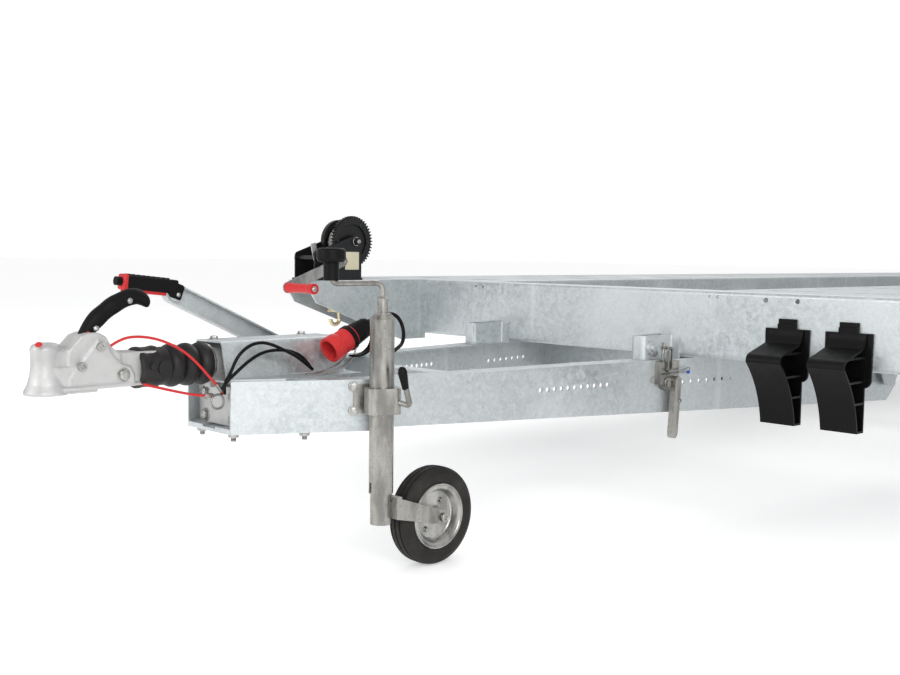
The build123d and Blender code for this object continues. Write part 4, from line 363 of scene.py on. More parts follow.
def make_finishes(colours):
    black, red = tuple(colours.black), tuple(colours.red)
    return {
        "galvanised_steel": galvanised(colours),
        "zinc_plate": bright_zinc("zinc_plate", tuple(colours.bright_zinc)),
        "worn_zinc": bright_zinc("worn_zinc", (0.37, 0.36, 0.335)),
        "cast_metal": casting(colours),
        "black_plastic": moulded("black_plastic", black, 0.42),
        "grip_plastic": moulded("grip_plastic", [1.3 * c for c in black], 0.5, 1100.0, 0.25),
        "red_plastic": moulded("red_plastic", red, 0.32, 900.0, 0.06),
        "black_steel": black_paint(),
        "rubber": rubber("rubber", (0.009, 0.008, 0.008), (0.020, 0.018, 0.017), 0.50),
        "tyre": rubber("tyre", (0.010, 0.009, 0.008), (0.026, 0.022, 0.019), 0.66),
        "strap": webbing(),
        "lamp_red": lens("lamp_red", (0.50, 0.012, 0.012), (0.36, 0.008, 0.008)),
        "lamp_amber": lens("lamp_amber", (0.85, 0.26, 0.02), (0.62, 0.17, 0.012)),
        "lamp_clear": lens("lamp_clear", (0.80, 0.81, 0.82), (0.62, 0.63, 0.65)),
        "clip_blue": moulded("clip_blue", (0.02, 0.10, 0.55), 0.35, 900.0, 0.05),
        "indicator_green": moulded("indicator_green", (0.03, 0.30, 0.06), 0.3, 900.0, 0.05),
        "cream": moulded("cream", (0.62, 0.57, 0.42), 0.45, 600.0, 0.08),
        "thread": moulded("thread", (0.10, 0.10, 0.10), 0.8, 1200.0, 0.2),
        "plate_white": plate(),
        "cable_black": moulded("cable_black", black, 0.38, 900.0, 0.05),
        "cable_red": moulded("cable_red", red, 0.30, 900.0, 0.05),
        "brass_hook": passivated(),
    }


def finish_for(slot):
    """The finish of a slot, made the first time that it is asked for."""
    if slot not in FINISHES:
        FINISHES.update(make_finishes(bpy.context.scene.trailer_colours))
    return FINISHES[slot]


FINISHES = {}


# Modelling helpers

def mm(*points):
    """Points in metres, from their measures in millimetres."""
    return [tuple(value / 1000.0 for value in point) for point in points]


def at(station, side, height):
    """A place ahead of the front beam, left of the centre line and above the floor."""
    return Vector((BED_FRONT + station, side, height))


def alone(piece=None):
    bpy.ops.object.select_all(action="DESELECT")
    if piece is not None:
        piece.select_set(True)
        bpy.context.view_layer.objects.active = piece


def primitive(kind, name, **options):
    alone()
    getattr(bpy.ops.mesh, f"primitive_{kind}_add")(**options)
    piece = bpy.context.object
    piece.name = name
    return piece


def drawn(name, first, steps):
    """A line from its first place by its steps, left selected for editing."""
    piece = primitive("plane", name, size=0.01)
    bpy.ops.object.mode_set(mode="EDIT")
    bpy.ops.mesh.merge(type="CENTER")
    bpy.ops.transform.translate(value=first)
    for step in steps:
        bpy.ops.mesh.extrude_vertices_move(TRANSFORM_OT_translate={"value": step})
    bpy.ops.mesh.select_all(action="SELECT")
    return piece


def turned(name, profile, steps=24):
    """A shape spun about its own upright axis from (radius, height) points."""
    (radius, height), pairs = profile[0], zip(profile, profile[1:])
    piece = drawn(name, (radius, 0.0, height), [(b[0] - a[0], 0.0, b[1] - a[1]) for a, b in pairs])
    bpy.ops.mesh.spin(steps=steps, angle=math.tau, center=(0.0, 0.0, 0.0), axis=UP)
    bpy.ops.mesh.select_all(action="SELECT")
    bpy.ops.mesh.remove_doubles(threshold=1e-5)
    bpy.ops.mesh.normals_make_consistent(inside=False)
    bpy.ops.object.mode_set(mode="OBJECT")
    return piece


def mirrored(half):
    """A wheel's section from the (radius, side) points of its left half."""
    return half + [(radius, -side) for radius, side in reversed(half)]


def modified(piece, kind, **values):
    alone(piece)
    modifier = piece.modifiers.new(kind.lower(), kind)
    for name, value in values.items():
        setattr(modifier, name, value)
    bpy.ops.object.modifier_apply(modifier=modifier.name)
    return piece


def bar(name, size, place, turn=None, edge=0.0006):
    """A straight bar with eased edges, centred on its place."""
    piece = primitive("cube", name, size=1.0)
    piece.scale = size
    bpy.ops.object.transform_apply(location=False, rotation=False, scale=True)
    modified(piece, "BEVEL", width=edge, segments=2)
    piece.matrix_world = Matrix.Translation(place) @ (turn or Matrix.Identity(4))
    return piece


def pitched(degrees):
    """A turn that lifts the front by so many degrees."""
    return Matrix.Rotation(math.radians(-degrees), 4, "Y")


def placed(piece, place, direction):
    """Stands a shape on its place, with its upright axis along the direction."""
    turn = Vector(direction).to_track_quat("Z", "Y").to_matrix().to_4x4()
    piece.matrix_world = Matrix.Translation(place) @ turn
    return piece


def copied(source):
    copy = source.copy()
    copy.data = source.data.copy()
    bpy.context.collection.objects.link(copy)
    return copy


def joined(name, pieces):
    alone(pieces[0])
    for piece in pieces:
        piece.select_set(True)
    if len(pieces) > 1:
        bpy.ops.object.join()
    pieces[0].name = name
    return pieces[0]


def set_out(name, source, spots):
    """Copies of one shape at (place, direction) spots, as one piece."""
    copies = [placed(copied(source), place, direction) for place, direction in spots]
    bpy.data.objects.remove(source)
    return joined(name, copies)


def path(name, points, closed=False):
    """A smooth curve that follows the points."""
    alone()
    bpy.ops.curve.primitive_nurbs_path_add()
    piece = bpy.context.object
    piece.name = name
    curve = piece.data
    curve.splines.clear()
    spline = curve.splines.new("NURBS")
    spline.points.add(len(points) - 1)
    for point, place in zip(spline.points, points):
        point.co = (*place, 1.0)
    spline.use_cyclic_u = closed
    spline.order_u = 3
    spline.use_endpoint_u = not closed
    curve.resolution_u = 8
    return piece


def rounded(piece, radius, rings):
    """Gives a curve a round section with closed ends."""
    piece.data.bevel_depth = radius
    piece.data.bevel_resolution = rings
    piece.data.use_fill_caps = True
    return piece


def meshed(piece):
    alone(piece)
    bpy.ops.object.convert(target="MESH")
    return piece


def wire(name, points, radius, closed=False):
    """A round wire bent along the points."""
    return meshed(rounded(path(name, points, closed), radius, 3))


def swung(piece, place):
    """Swings a shape by a quarter turn about the long axis, and moves it to its place."""
    piece.matrix_world = Matrix.Translation(place) @ Matrix.Rotation(math.pi / 2.0, 4, "X")
    return piece


def band(name, outline, width, thickness, place):
    """A flat band whose side view is the (station, height) outline."""
    piece = path(name, [(x, z, 0.0) for x, z in outline])
    piece.data.dimensions = "2D"
    piece.data.fill_mode = "NONE"
    piece.data.extrude = width / 2.0
    modified(meshed(piece), "SOLIDIFY", thickness=thickness, offset=0.0)
    return swung(piece, place)


def slab(name, outline, width):
    """A plate cut to a (station, height) outline, centred on the side view's plane."""
    places = [Vector((BED_FRONT + station, -width / 2.0, height)) for station, height in outline]
    piece = drawn(name, places[0], [b - a for a, b in zip(places, places[1:])])
    bpy.ops.mesh.edge_face_add()
    bpy.ops.mesh.extrude_region_move(TRANSFORM_OT_translate={"value": (0.0, width, 0.0)})
    bpy.ops.mesh.select_all(action="SELECT")
    bpy.ops.mesh.normals_make_consistent(inside=False)
    bpy.ops.object.mode_set(mode="OBJECT")
    return piece


def settle(piece, slot, body, angle=35.0, finish=None):
    """Fixes a piece in place, gives it its finish and lets it move with its body."""
    alone(piece)
    bpy.ops.object.transform_apply(location=True, rotation=True, scale=True)
    bpy.ops.object.shade_smooth_by_angle(angle=math.radians(angle))
    piece.data.materials.clear()
    piece.data.materials.append(finish_for(finish or slot))
    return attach(piece, body)


# Fasteners, sized by the radius of their heads

def scaled(radius, *points):
    """A profile from points measured in radii of the head."""
    return [(reach * radius, height * radius) for reach, height in points]


def hex_head(radius):
    """A hexagon head with a chamfer and a raised stamping pad, on a washer."""
    washer = turned("washer", scaled(radius, (0, 0), (1.28, 0), (1.28, 0.12), (1.20, 0.2),
                                     (0, 0.2)), 20)
    head = primitive("cylinder", "head", vertices=6, radius=radius, depth=0.62 * radius,
                     location=(0.0, 0.0, 0.5 * radius))
    bpy.ops.object.transform_apply(location=True, rotation=True, scale=True)
    modified(head, "BEVEL", width=0.08 * radius, segments=2)
    pad = turned("pad", scaled(radius, (0, 0.8), (0.62, 0.8), (0.56, 0.86), (0, 0.88)), 20)
    return joined("hex_head", [washer, head, pad])


def nut_and_end(radius):
    """A nut on a washer, with the bolt's threaded end through it."""
    nut = hex_head(radius)
    end = [(0, 0.8), (0.52, 0.8)]
    for turn in range(4):
        low = 0.92 + 0.16 * turn
        end += [(0.52, low), (0.45, low + 0.08)]
    end += [(0.42, 1.56), (0, 1.6)]
    return joined("nut_and_end", [nut, turned("end", scaled(radius, *end), 16)])


def socket_head(radius):
    """A cap screw with a socket in its head."""
    return turned("socket_head", scaled(
        radius, (0, 0), (1, 0), (1, 0.95), (0.92, 1.05), (0.56, 1.05), (0.5, 0.98),
        (0.5, 0.45), (0, 0.35)), 18)


def dome_head(radius):
    """A rivet's domed head."""
    return turned("dome_head", scaled(
        radius, (0, -0.1), (1, -0.1), (1, 0.08), (0.86, 0.34), (0.55, 0.54), (0, 0.62)), 18)


def hollow_rivet(radius):
    """A tubular rivet's rolled ring."""
    return turned("hollow_rivet", scaled(
        radius, (0.60, -0.1), (1, -0.1), (1, 0.1), (0.88, 0.24), (0.70, 0.24), (0.60, 0.12),
        (0.60, -0.1)), 20)


# The way that the jockey clamp's bolts face
CLAMP_AHEAD = (0.4675, 0.884, 0.0)

# Places: the jockey wheel's centre, and the winch drum's axis and the circle of its rivets
JOCKEY_STATION, JOCKEY_SIDE, JOCKEY_HEIGHT = 0.752, 0.2398, 0.100
WINCH_STATION, WINCH_HEIGHT = 0.266, 0.660
RIVET_COUNT, RIVET_CIRCLE = 6, 0.054


def both(station, side, height):
    """A place and its mirror image across the centre line, each facing outwards."""
    return (at(station, side, height), LEFT), (at(station, -side, height), RIGHT)


def around_drum(turn):
    """The place of one of the rivets in the drum's gear."""
    spin = turn * math.tau / RIVET_COUNT
    return at(WINCH_STATION + RIVET_CIRCLE * math.cos(spin), -0.604,
              WINCH_HEIGHT + RIVET_CIRCLE * math.sin(spin))


# Fasteners: name, shape, head radius, slot, body, spots
FASTENERS = (
    ("coupling_screws", socket_head, 0.008, "zinc_plate", "drawbar",
     both(1.365, 0.0285, 0.459) + both(1.401, 0.0305, 0.426)),
    ("coupling_bolts", hex_head, 0.0105, "zinc_plate", "drawbar", both(1.321, 0.0290, 0.406)),
    ("handle_rivets", dome_head, 0.0055, "zinc_plate", "drawbar",
     both(1.298, 0.014, 0.538) + both(1.364, 0.014, 0.490)),
    ("cover_bolts", hex_head, 0.008, "zinc_plate", "drawbar", (
        (at(1.100, -0.020, 0.457), UP), (at(0.880, -0.030, 0.457), UP))),
    ("tie_bolts", nut_and_end, 0.0105, "zinc_plate", "drawbar", tuple(
        (at(station, side, 0.281), DOWN)
        for station, reach in ((1.105, 0.055), (0.988, 0.125)) for side in (reach, -reach))),
    ("front_plate_bolts", hex_head, 0.0105, "zinc_plate", "drawbar", tuple(
        (at(1.100, side, height), AHEAD) for side in (-0.05, 0.05) for height in (0.305, 0.350))),
    ("clamp_bolts", hex_head, 0.0075, "zinc_plate", "drawbar", tuple(
        (at(0.9189, 0.1916, height), CLAMP_AHEAD) for height in (0.370, 0.322))),
    ("fork_rivets", hollow_rivet, 0.009, "zinc_plate", "jockey_castor", (
        (at(JOCKEY_STATION, JOCKEY_SIDE + 0.041, JOCKEY_HEIGHT), LEFT),
        (at(JOCKEY_STATION, JOCKEY_SIDE - 0.041, JOCKEY_HEIGHT), RIGHT))),
    ("latch_rivet", dome_head, 0.006, "zinc_plate", "drawbar", (
        (at(0.029, 0.3474, 0.283), LEFT),)),
    ("feet_rosettes", hollow_rivet, 0.009, "zinc_plate", "bed", both(0.092, 0.302, 0.412)),
    ("feet_bolts", hex_head, 0.0075, "zinc_plate", "bed",
     both(0.040, 0.302, 0.413) + both(0.075, 0.302, 0.398)),
    ("winch_tie_nuts", nut_and_end, 0.0075, "zinc_plate", "bed", (
        (at(0.400, -0.585, 0.613), LEFT), (at(0.400, -0.685, 0.613), RIGHT))),
    ("winch_axis_nuts", nut_and_end, 0.010, "zinc_plate", "bed", (
        (at(WINCH_STATION, -0.589, WINCH_HEIGHT), LEFT),
        (at(WINCH_STATION, -0.681, WINCH_HEIGHT), RIGHT))),
    ("winch_base_bolts", hex_head, 0.007, "zinc_plate", "bed", (
        (at(0.385, -0.615, 0.557), UP), (at(0.385, -0.655, 0.557), UP))),
    ("crank_nut", nut_and_end, 0.010, "zinc_plate", "winch_crank", (
        (at(0.334, -0.564, 0.605), LEFT),)),
    ("grip_nut", dome_head, 0.008, "zinc_plate", "winch_crank", (
        (at(0.521, -0.451, 0.533), LEFT),)),
    ("gear_rivets", dome_head, 0.005, "black_steel", "winch_drum", tuple(
        (around_drum(turn), LEFT) for turn in range(RIVET_COUNT))),
)


# Operators

class TRAILER_OT_fasteners(bpy.types.Operator):
    """Set out the bolts, nuts, screws and rivets"""
    bl_idname = "trailer.fasteners"
    bl_label = "Fasteners"

    def execute(self, context):
        for name, shape, radius, slot, body, spots in FASTENERS:
            settle(set_out(name, shape(radius), spots), slot, body, 30.0)
        return {"FINISHED"}


class TRAILER_OT_cables(bpy.types.Operator):
    """Run the breakaway cable, the brake cables and the plug's lead"""
    bl_idname = "trailer.cables"
    bl_label = "Cables"

    def execute(self, context):
        fittings = self.snap_hook()
        fittings["plug_lead"] = [bpy.data.objects[name] for name in PLUG_PIECES]
        for name, slot, diameter, length, far_end, lay, route in CABLES:
            points = [at(*place) for place in route]
            cable = rounded(path(name, points), diameter / 2.0, 4)
            cable.data.resolution_u = 12
            cable.data.materials.append(finish_for("cable_red" if "red" in slot else "cable_black"))
            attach(cable, "drawbar")
            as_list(fittings.get(name, []))
        return {"FINISHED"}

    def snap_hook(self):
        """The breakaway cable's snap hook, hung from the rail's front end"""
        ring = mm(
            (1130, 344), (1133, 356), (1144, 360), (1155, 355), (1159, 345), (1155, 335),
            (1144, 331), (1133, 334))
        hook = wire("snap_hook", [at(station, 0.060, height) for station, height in ring],
                    0.0022, closed=True)
        settle(hook, "zinc_plate", "drawbar", 60.0)
        sleeve = turned("cable_sleeve", mm(
            (0, 0), (4.2, 0), (4.6, 2), (4.6, 16), (4.2, 18), (0, 18)), 16)
        lower = placed(copied(sleeve), at(1.146, 0.048, 0.356), (1.0, -0.1, 0.12))
        upper = placed(sleeve, at(1.133, 0.058, 0.364), (0.6, -0.1, 0.9))
        lower.name, upper.name = "cable_sleeve_lower", "cable_sleeve_upper"
        settle(lower, "zinc_plate", "drawbar")
        settle(upper, "zinc_plate", "drawbar")
        return {"breakaway_cable": [hook, upper], "breakaway_return": [lower]}


# Cables: name, slot, diameter, length, far end, lay, route
CABLES = (
    ("breakaway_cable", "red_plastic", 0.005, 0.277, "fitting", "hanging", mm(
        (1343, 26, 459), (1326, 30, 471), (1295, 34, 475), (1255, 40, 468), (1214, 44, 449),
        (1185, 48, 425), (1157, 54, 393), (1130, 60, 360))),
    ("breakaway_return", "red_plastic", 0.005, 0.135, "fitting", "hanging", mm(
        (1282, 30, 386), (1247, 36, 376), (1214, 40, 367), (1180, 44, 359), (1150, 50, 356))),
    ("brake_cable_outer", "black_plastic", 0.0065, 0.27, "object", "loose", mm(
        (1128, 60, 360), (1142, 78, 378), (1131, 85, 401), (1118, 87, 431), (1095, 88, 450),
        (1068, 88, 457), (1041, 88, 452), (1008, 88, 438), (974, 88, 422), (940, 88, 396))),
    ("brake_cable_inner", "black_plastic", 0.0065, 0.25, "object", "loose", mm(
        (1128, 50, 358), (1138, 68, 376), (1113, 76, 400), (1082, 77, 423), (1050, 77, 437),
        (1012, 77, 439), (979, 78, 433), (954, 80, 419), (936, 80, 396))),
    ("plug_lead", "black_plastic", 0.008, 0.260, "plug", "hanging", mm(
        (830, 152, 381), (816, 152, 400), (794, 148, 420), (762, 140, 432), (731, 126, 442),
        (717, 112, 471), (728, 104, 499), (760, 101, 506), (790, 100, 488))),
)


PLUG_PIECES = ("plug_collar", "plug_body", "plug_pins")


class TRAILER_OT_plug(bpy.types.Operator):
    """Model the connector plug in its rest"""
    bl_idname = "trailer.plug"
    bl_label = "Connector plug"

    def execute(self, context):
        mouth, axis = at(0.908, 0.100, 0.433), (-0.907, 0.0, 0.421)
        collar = turned("plug_collar", mm(
            (0, 34), (20.5, 34), (20.5, 2), (21.2, 0), (26.2, 0), (26.8, 1.5), (26.8, 22),
            (25.5, 25), (23.6, 26), (23.6, 30), (24.6, 32), (24.6, 58), (23.6, 62), (22.5, 66),
            (0, 66)), 40)
        settle(placed(collar, mouth, axis), "red_plastic", "drawbar")
        body = mm((0, 58), (23, 58))
        for ring in range(4):
            low = 0.067 + 0.010 * ring
            edge = 0.0230 - 0.0010 * ring
            body += [(edge, low), (edge, low + 0.007), (edge - 0.0015, low + 0.008)]
        body += mm((17.5, 110), (11, 114), (10, 126), (6.2, 134), (0, 134))
        settle(placed(turned("plug_body", body, 32), mouth, axis), "black_plastic", "drawbar")
        pins = turned("pin", mm((0, 0), (2.2, 0), (2.2, 12), (1.4, 14), (0, 14)), 10)
        along = Vector(axis).normalized()
        across = Vector(LEFT)
        rise = along.cross(across)
        spots = []
        for turn in range(7):
            spin = turn * math.tau / 7.0
            reach = 0.0115 * (across * math.cos(spin) + rise * math.sin(spin))
            spots.append((mouth + along * 0.0345 + reach, -along))
        settle(set_out("plug_pins", pins, spots), "brass_hook", "drawbar")
        rests = [wire("rest", [at(0.946, side, 0.3865), at(0.930, side, 0.3890),
                               at(0.905, side, 0.3925), at(0.872, side, 0.4040),
                               at(0.852, side, 0.4200), at(0.846, side, 0.4440)], 0.0020)
                 for side in (0.0880, 0.1120)]
        foot = bar("rest_foot", (0.024, 0.034, 0.0030), at(0.944, 0.100, 0.3870))
        settle(joined("plug_rest", [foot, *rests]), "zinc_plate", "drawbar", 60.0)
        ring = turned("plug_clip", mm((24.4, 0), (26.6, 0), (26.6, 10), (24.4, 10), (24.4, 0)), 40)
        settle(placed(ring, mouth + along * 0.050, axis), "black_plastic", "drawbar")
        hinge = band("plug_latch", mm(
            (872, 422.5), (858, 421), (836, 426.5), (818, 440), (815, 452)), 0.016, 0.004,
                     at(0.0, 0.126, 0.0))
        settle(hinge, "black_plastic", "drawbar", 60.0)
        return {"FINISHED"}


class TRAILER_OT_coupling(bpy.types.Operator):
    """Model the coupling's casting and lever, and add its indicators and bellows clamp"""
    bl_idname = "trailer.coupling"
    bl_label = "Coupling"

    def execute(self, context):
        button = turned("wear_button", mm((0, 0), (6.2, 0), (6.2, 2.2), (5, 3.4), (0, 3.8)), 24)
        settle(placed(button, at(1.474, 0.024, 0.4665), (0.35, 0.35, 0.87)), "red_plastic",
               "drawbar")
        self.handle()
        clamp = turned("bellows_clamps", mm(
            (36.2, -4), (37.8, -4), (38.2, -2.5), (38.2, 2.5), (37.8, 4), (36.2, 4),
            (36.2, -4)), 48)
        settle(placed(clamp, at(1.134, 0.0, 0.414), AHEAD), "zinc_plate", "drawbar")
        cuff = turned("bellows_cuff", mm(
            (30, 0), (38.5, 0), (39.5, 5), (38.2, 12), (37.4, 16), (37.4, 30), (38.5, 34),
            (38.5, 40), (37, 43), (32, 43), (30, 0)), 48)
        boss = turned("boss", mm((0, -12), (8.5, -12), (8.5, 2), (7.5, 3.5), (0, 4)), 24)
        placed(cuff, at(1.243, 0.0, 0.414), AHEAD)
        placed(boss, at(1.263, 0.037, 0.418), LEFT)
        settle(joined("bellows_cuff", [cuff, boss]), "rubber", "drawbar")
        self.casting()
        return {"FINISHED"}

    def casting(self):
        """The cast body: ball cup, cheeks and foot flange melted into one skin"""
        cup = placed(turned("cup", mm(
            (0, 52), (12, 48), (19.5, 36), (21.5, 20), (23.5, 0), (38, 0), (38.8, 4), (36.5, 9),
            (31.8, 18), (27.5, 34), (25.5, 52), (26.2, 70), (26.8, 80), (23.5, 86.5), (15, 89.5),
            (0, 90.5)), 40), at(1.451, 0.0, 0.378), UP)
        cheeks = slab("cheeks", mm(
            (1422.5, 386), (1422.5, 448), (1418, 458), (1410, 466), (1398, 478.5), (1384, 483.5),
            (1366, 483.5), (1352, 476), (1341, 457), (1331, 449), (1325, 446),
            (1318, 386)), 0.0550)
        skirt = slab("skirt", mm(
            (1422.5, 384), (1422.5, 404), (1412, 418), (1392, 440), (1368, 470), (1352, 464),
            (1340, 440), (1322, 424), (1306, 420), (1298, 404), (1298, 384)), 0.0610)
        web = slab("web", mm(
            (1446, 436), (1446, 452), (1425, 454.5), (1400, 466), (1380, 470), (1380, 430),
            (1420, 430)), 0.0420)
        neck = slab("neck", mm((1335, 388), (1335, 446.5), (1250, 445.5), (1250, 392)),
                    0.0500)
        flange = slab("flange", mm(
            (1445, -33), (1420, -36.2), (1370, -34.5), (1300, -31.5), (1278, -26), (1278, 26),
            (1300, 31.5), (1370, 34.5), (1420, 36.2), (1445, 33)), 0.0065)
        swung(flange, (0.0, 0.0, 0.3875))
        saddle = slab("saddle", mm(
            (1452, -26.2), (1426, -29), (1400, -30), (1400, 30), (1426, 29), (1452, 26.2)), 0.0400)
        swung(saddle, (0.0, 0.0, 0.4060))
        bridge = slab("bridge", mm(
            (1456, 420), (1456, 448), (1434, 453.5), (1410, 460), (1400, 464),
            (1400, 420)), 0.0500)
        pad = bar("pad", (0.052, 0.030, 0.014), at(1.388, 0.0, 0.3835), None, 0.002)
        body = joined("coupling_casting", [cheeks, skirt, web, cup, neck, flange, pad,
                                           saddle, bridge])
        alone(body)
        bpy.ops.object.transform_apply(location=True, rotation=True, scale=True)
        self.open_socket(body)
        modified(body, "REMESH", mode="VOXEL", voxel_size=0.0015, use_smooth_shade=True)
        modified(body, "SMOOTH", factor=0.6, iterations=7)
        settle(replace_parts(body, "coupling_head"), "cast_metal", "drawbar", 60.0)

    def open_socket(self, body):
        """Clears the ball's seat of the flange's front edge"""
        ball = primitive("uv_sphere", "ball", segments=32, ring_count=16, radius=0.0212,
                         location=at(1.451, 0.0, 0.398))
        modified(body, "BOOLEAN", object=ball, operation="DIFFERENCE", solver="EXACT",
                 use_self=True)
        bpy.data.objects.remove(ball)

    def handle(self):
        """The moulded lever, with a wave for each finger"""
        route = mm((1389, 452, 9.5), (1384.5, 470, 11.5), (1372, 490, 14), (1356, 507, 16.8),
                   (1341, 519, 15.2), (1325, 530, 16.8), (1308, 538.5, 15.4),
                   (1290, 545, 16.2), (1274, 545, 14.4), (1262, 537.5, 12), (1257, 529, 8),
                   (1256, 525, 3))
        lever = path("coupling_lever", [at(station, 0.0, height) for station, height, _ in route])
        for point, (_, _, radius) in zip(lever.data.splines[0].points, route):
            point.radius = radius
        meshed(rounded(lever, 1.0, 6))
        lever.scale = (1.0, 0.88, 1.0)
        settle(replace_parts(lever, "coupling_handle"), "grip_plastic", "drawbar", 60.0)
        green = turned("mark", mm((0, 0), (3.2, 0), (3, 1.2), (0, 1.8)), 16)
        red = placed(copied(green), at(1.3775, 0.0102, 0.4830), (0.15, 0.98, 0.1))
        placed(green, at(1.3855, 0.0098, 0.4780), (0.15, 0.98, 0.1))
        green.name, red.name = "handle_mark_green", "handle_mark_red"
        settle(green, "black_plastic", "drawbar", 35.0, "indicator_green")
        settle(red, "red_plastic", "drawbar")


class TRAILER_OT_handbrake(bpy.types.Operator):
    """Add the handbrake's red insert, neck, grip ribs, rivets and pivot"""
    bl_idname = "trailer.handbrake"
    bl_label = "Handbrake"

    def execute(self, context):
        slope, side = 6.0, -0.084
        rise = math.sin(math.radians(slope))
        insert = bar("brake_insert", (0.096, 0.0170, 0.009), at(1.214, side, 0.5500),
                     pitched(slope), 0.003)
        collar = bar("brake_collar", (0.010, 0.0296, 0.0305), at(1.2585, side, 0.5695),
                     pitched(slope), 0.004)
        settle(joined("brake_insert", [insert, collar]), "red_plastic", "handbrake")
        neck = bar("brake_neck", (0.030, 0.0265, 0.032), at(1.1500, side, 0.5500),
                   pitched(20.0), 0.005)
        settle(neck, "black_plastic", "handbrake")
        ribs = []
        for index in range(9):
            along = 0.020 + 0.0105 * index
            place = at(1.147 + along, side, 0.5725 + rise * along)
            ribs.append(bar("rib", (0.0042, 0.0200, 0.0030), place, pitched(slope), 0.0010))
        settle(joined("brake_ribs", ribs), "grip_plastic", "handbrake")
        rivet = set_out("brake_rivets", dome_head(0.0050), (
            (at(1.148, -0.0708, 0.543), LEFT), (at(1.148, -0.0972, 0.543), RIGHT)))
        settle(rivet, "zinc_plate", "handbrake")
        pivot = set_out("brake_pivot", hex_head(0.011), (
            (at(0.880, -0.0735, 0.420), LEFT), (at(0.880, -0.0945, 0.420), RIGHT)))
        settle(pivot, "zinc_plate", "handbrake")
        return {"FINISHED"}


class TRAILER_OT_jockey_wheel(bpy.types.Operator):
    """Model the jockey wheel's tyre and pressed rim, and add the clamp's grip"""
    bl_idname = "trailer.jockey_wheel"
    bl_label = "Jockey wheel"

    def execute(self, context):
        centre = at(JOCKEY_STATION, JOCKEY_SIDE, JOCKEY_HEIGHT)
        half = mm(
            (65.5, 20), (69, 22.8), (76, 23.8), (77.5, 24.5), (86, 24.5), (88, 23.2), (94, 21.5),
            (97.5, 18), (99, 14.5), (96, 13.5), (96, 11.5), (99.7, 10.5), (100, 6), (100, 2),
            (96.5, 1.2))
        profile = mirrored(half)
        tyre = placed(turned("jockey_tread", profile + [half[0]], 96), centre, LEFT)
        settle(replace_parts(tyre, "jockey_tyre"), "tyre", "jockey_wheel", 30.0)
        dish = mm(
            (0, 12.5), (7.5, 12.5), (8, 17.5), (15, 17.5), (17, 16), (17.5, 6.5), (20, 5), (47, 6),
            (50, 8), (54, 17), (56, 20), (61, 21), (63, 22.5), (64, 24.5), (66, 24.5),
            (67.2, 22.5), (66.5, 19.5), (66, 16))
        rim = placed(turned("jockey_rim_pressing", mirrored(dish), 72), centre, LEFT)
        settle(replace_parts(rim, "jockey_rim"), "zinc_plate", "jockey_wheel", 30.0)
        spots = []
        for turn in range(4):
            spin = (turn + 0.4) * math.tau / 4.0
            reach = Vector((math.cos(spin), 0.0, math.sin(spin))) * 0.034
            for way in (1.0, -1.0):
                spots.append((centre + reach + Vector((0.0, 0.0057 * way, 0.0)),
                              (0.0, way, 0.0)))
        settle(set_out("jockey_rim_bolts", hex_head(0.0052), spots), "zinc_plate", "jockey_wheel")
        grip = turned("clamp_grip", mm(
            (0, 0), (6.2, 0), (6.8, 2), (7.2, 12), (8.6, 26), (9, 34), (7.4, 41), (4, 44.5),
            (0, 45.5)), 24)
        grip = placed(grip, at(0.8772, 0.2955, 0.3720), (0.020, 0.0023, 0.069))
        settle(grip, "black_plastic", "drawbar")
        return {"FINISHED"}


class TRAILER_OT_latch(bpy.types.Operator):
    """Add the latch's disc, ring, clip and bead"""
    bl_idname = "trailer.latch"
    bl_label = "Latch"

    def execute(self, context):
        disc = turned("latch_disc", mm(
            (0, 0), (12.5, 0), (12.5, 2.2), (11.5, 3), (5, 3), (4.4, 4.2), (0, 4.6)), 28)
        settle(placed(disc, at(0.064, 0.3334, 0.329), LEFT), "zinc_plate", "drawbar")
        hoop = mm(
            (50, 404), (56, 413), (66, 413), (72, 404), (73, 386), (68, 362), (61, 352), (54, 362),
            (49, 386))
        ring = wire("latch_ring", [at(station, 0.3250, height) for station, height in hoop],
                    0.0034, closed=True)
        settle(ring, "zinc_plate", "bed", 60.0)
        pin = mm(
            (97, 348), (70, 349), (40, 349.5), (10, 350), (-14, 352), (-22, 356), (-18, 361),
            (-6, 360), (10, 355.5), (26, 360), (42, 355), (62, 358.5), (78, 362))
        clip = wire("latch_clip", [at(station, 0.3405, height) for station, height in pin],
                    0.0015)
        settle(clip, "zinc_plate", "drawbar", 60.0)
        bead = primitive("uv_sphere", "clip_bead", segments=20, ring_count=12, radius=0.0042,
                         location=at(-0.014, 0.3405, 0.3495))
        bead.scale = (1.25, 1.0, 1.0)
        settle(bead, "black_plastic", "drawbar", 60.0, "clip_blue")
        return {"FINISHED"}


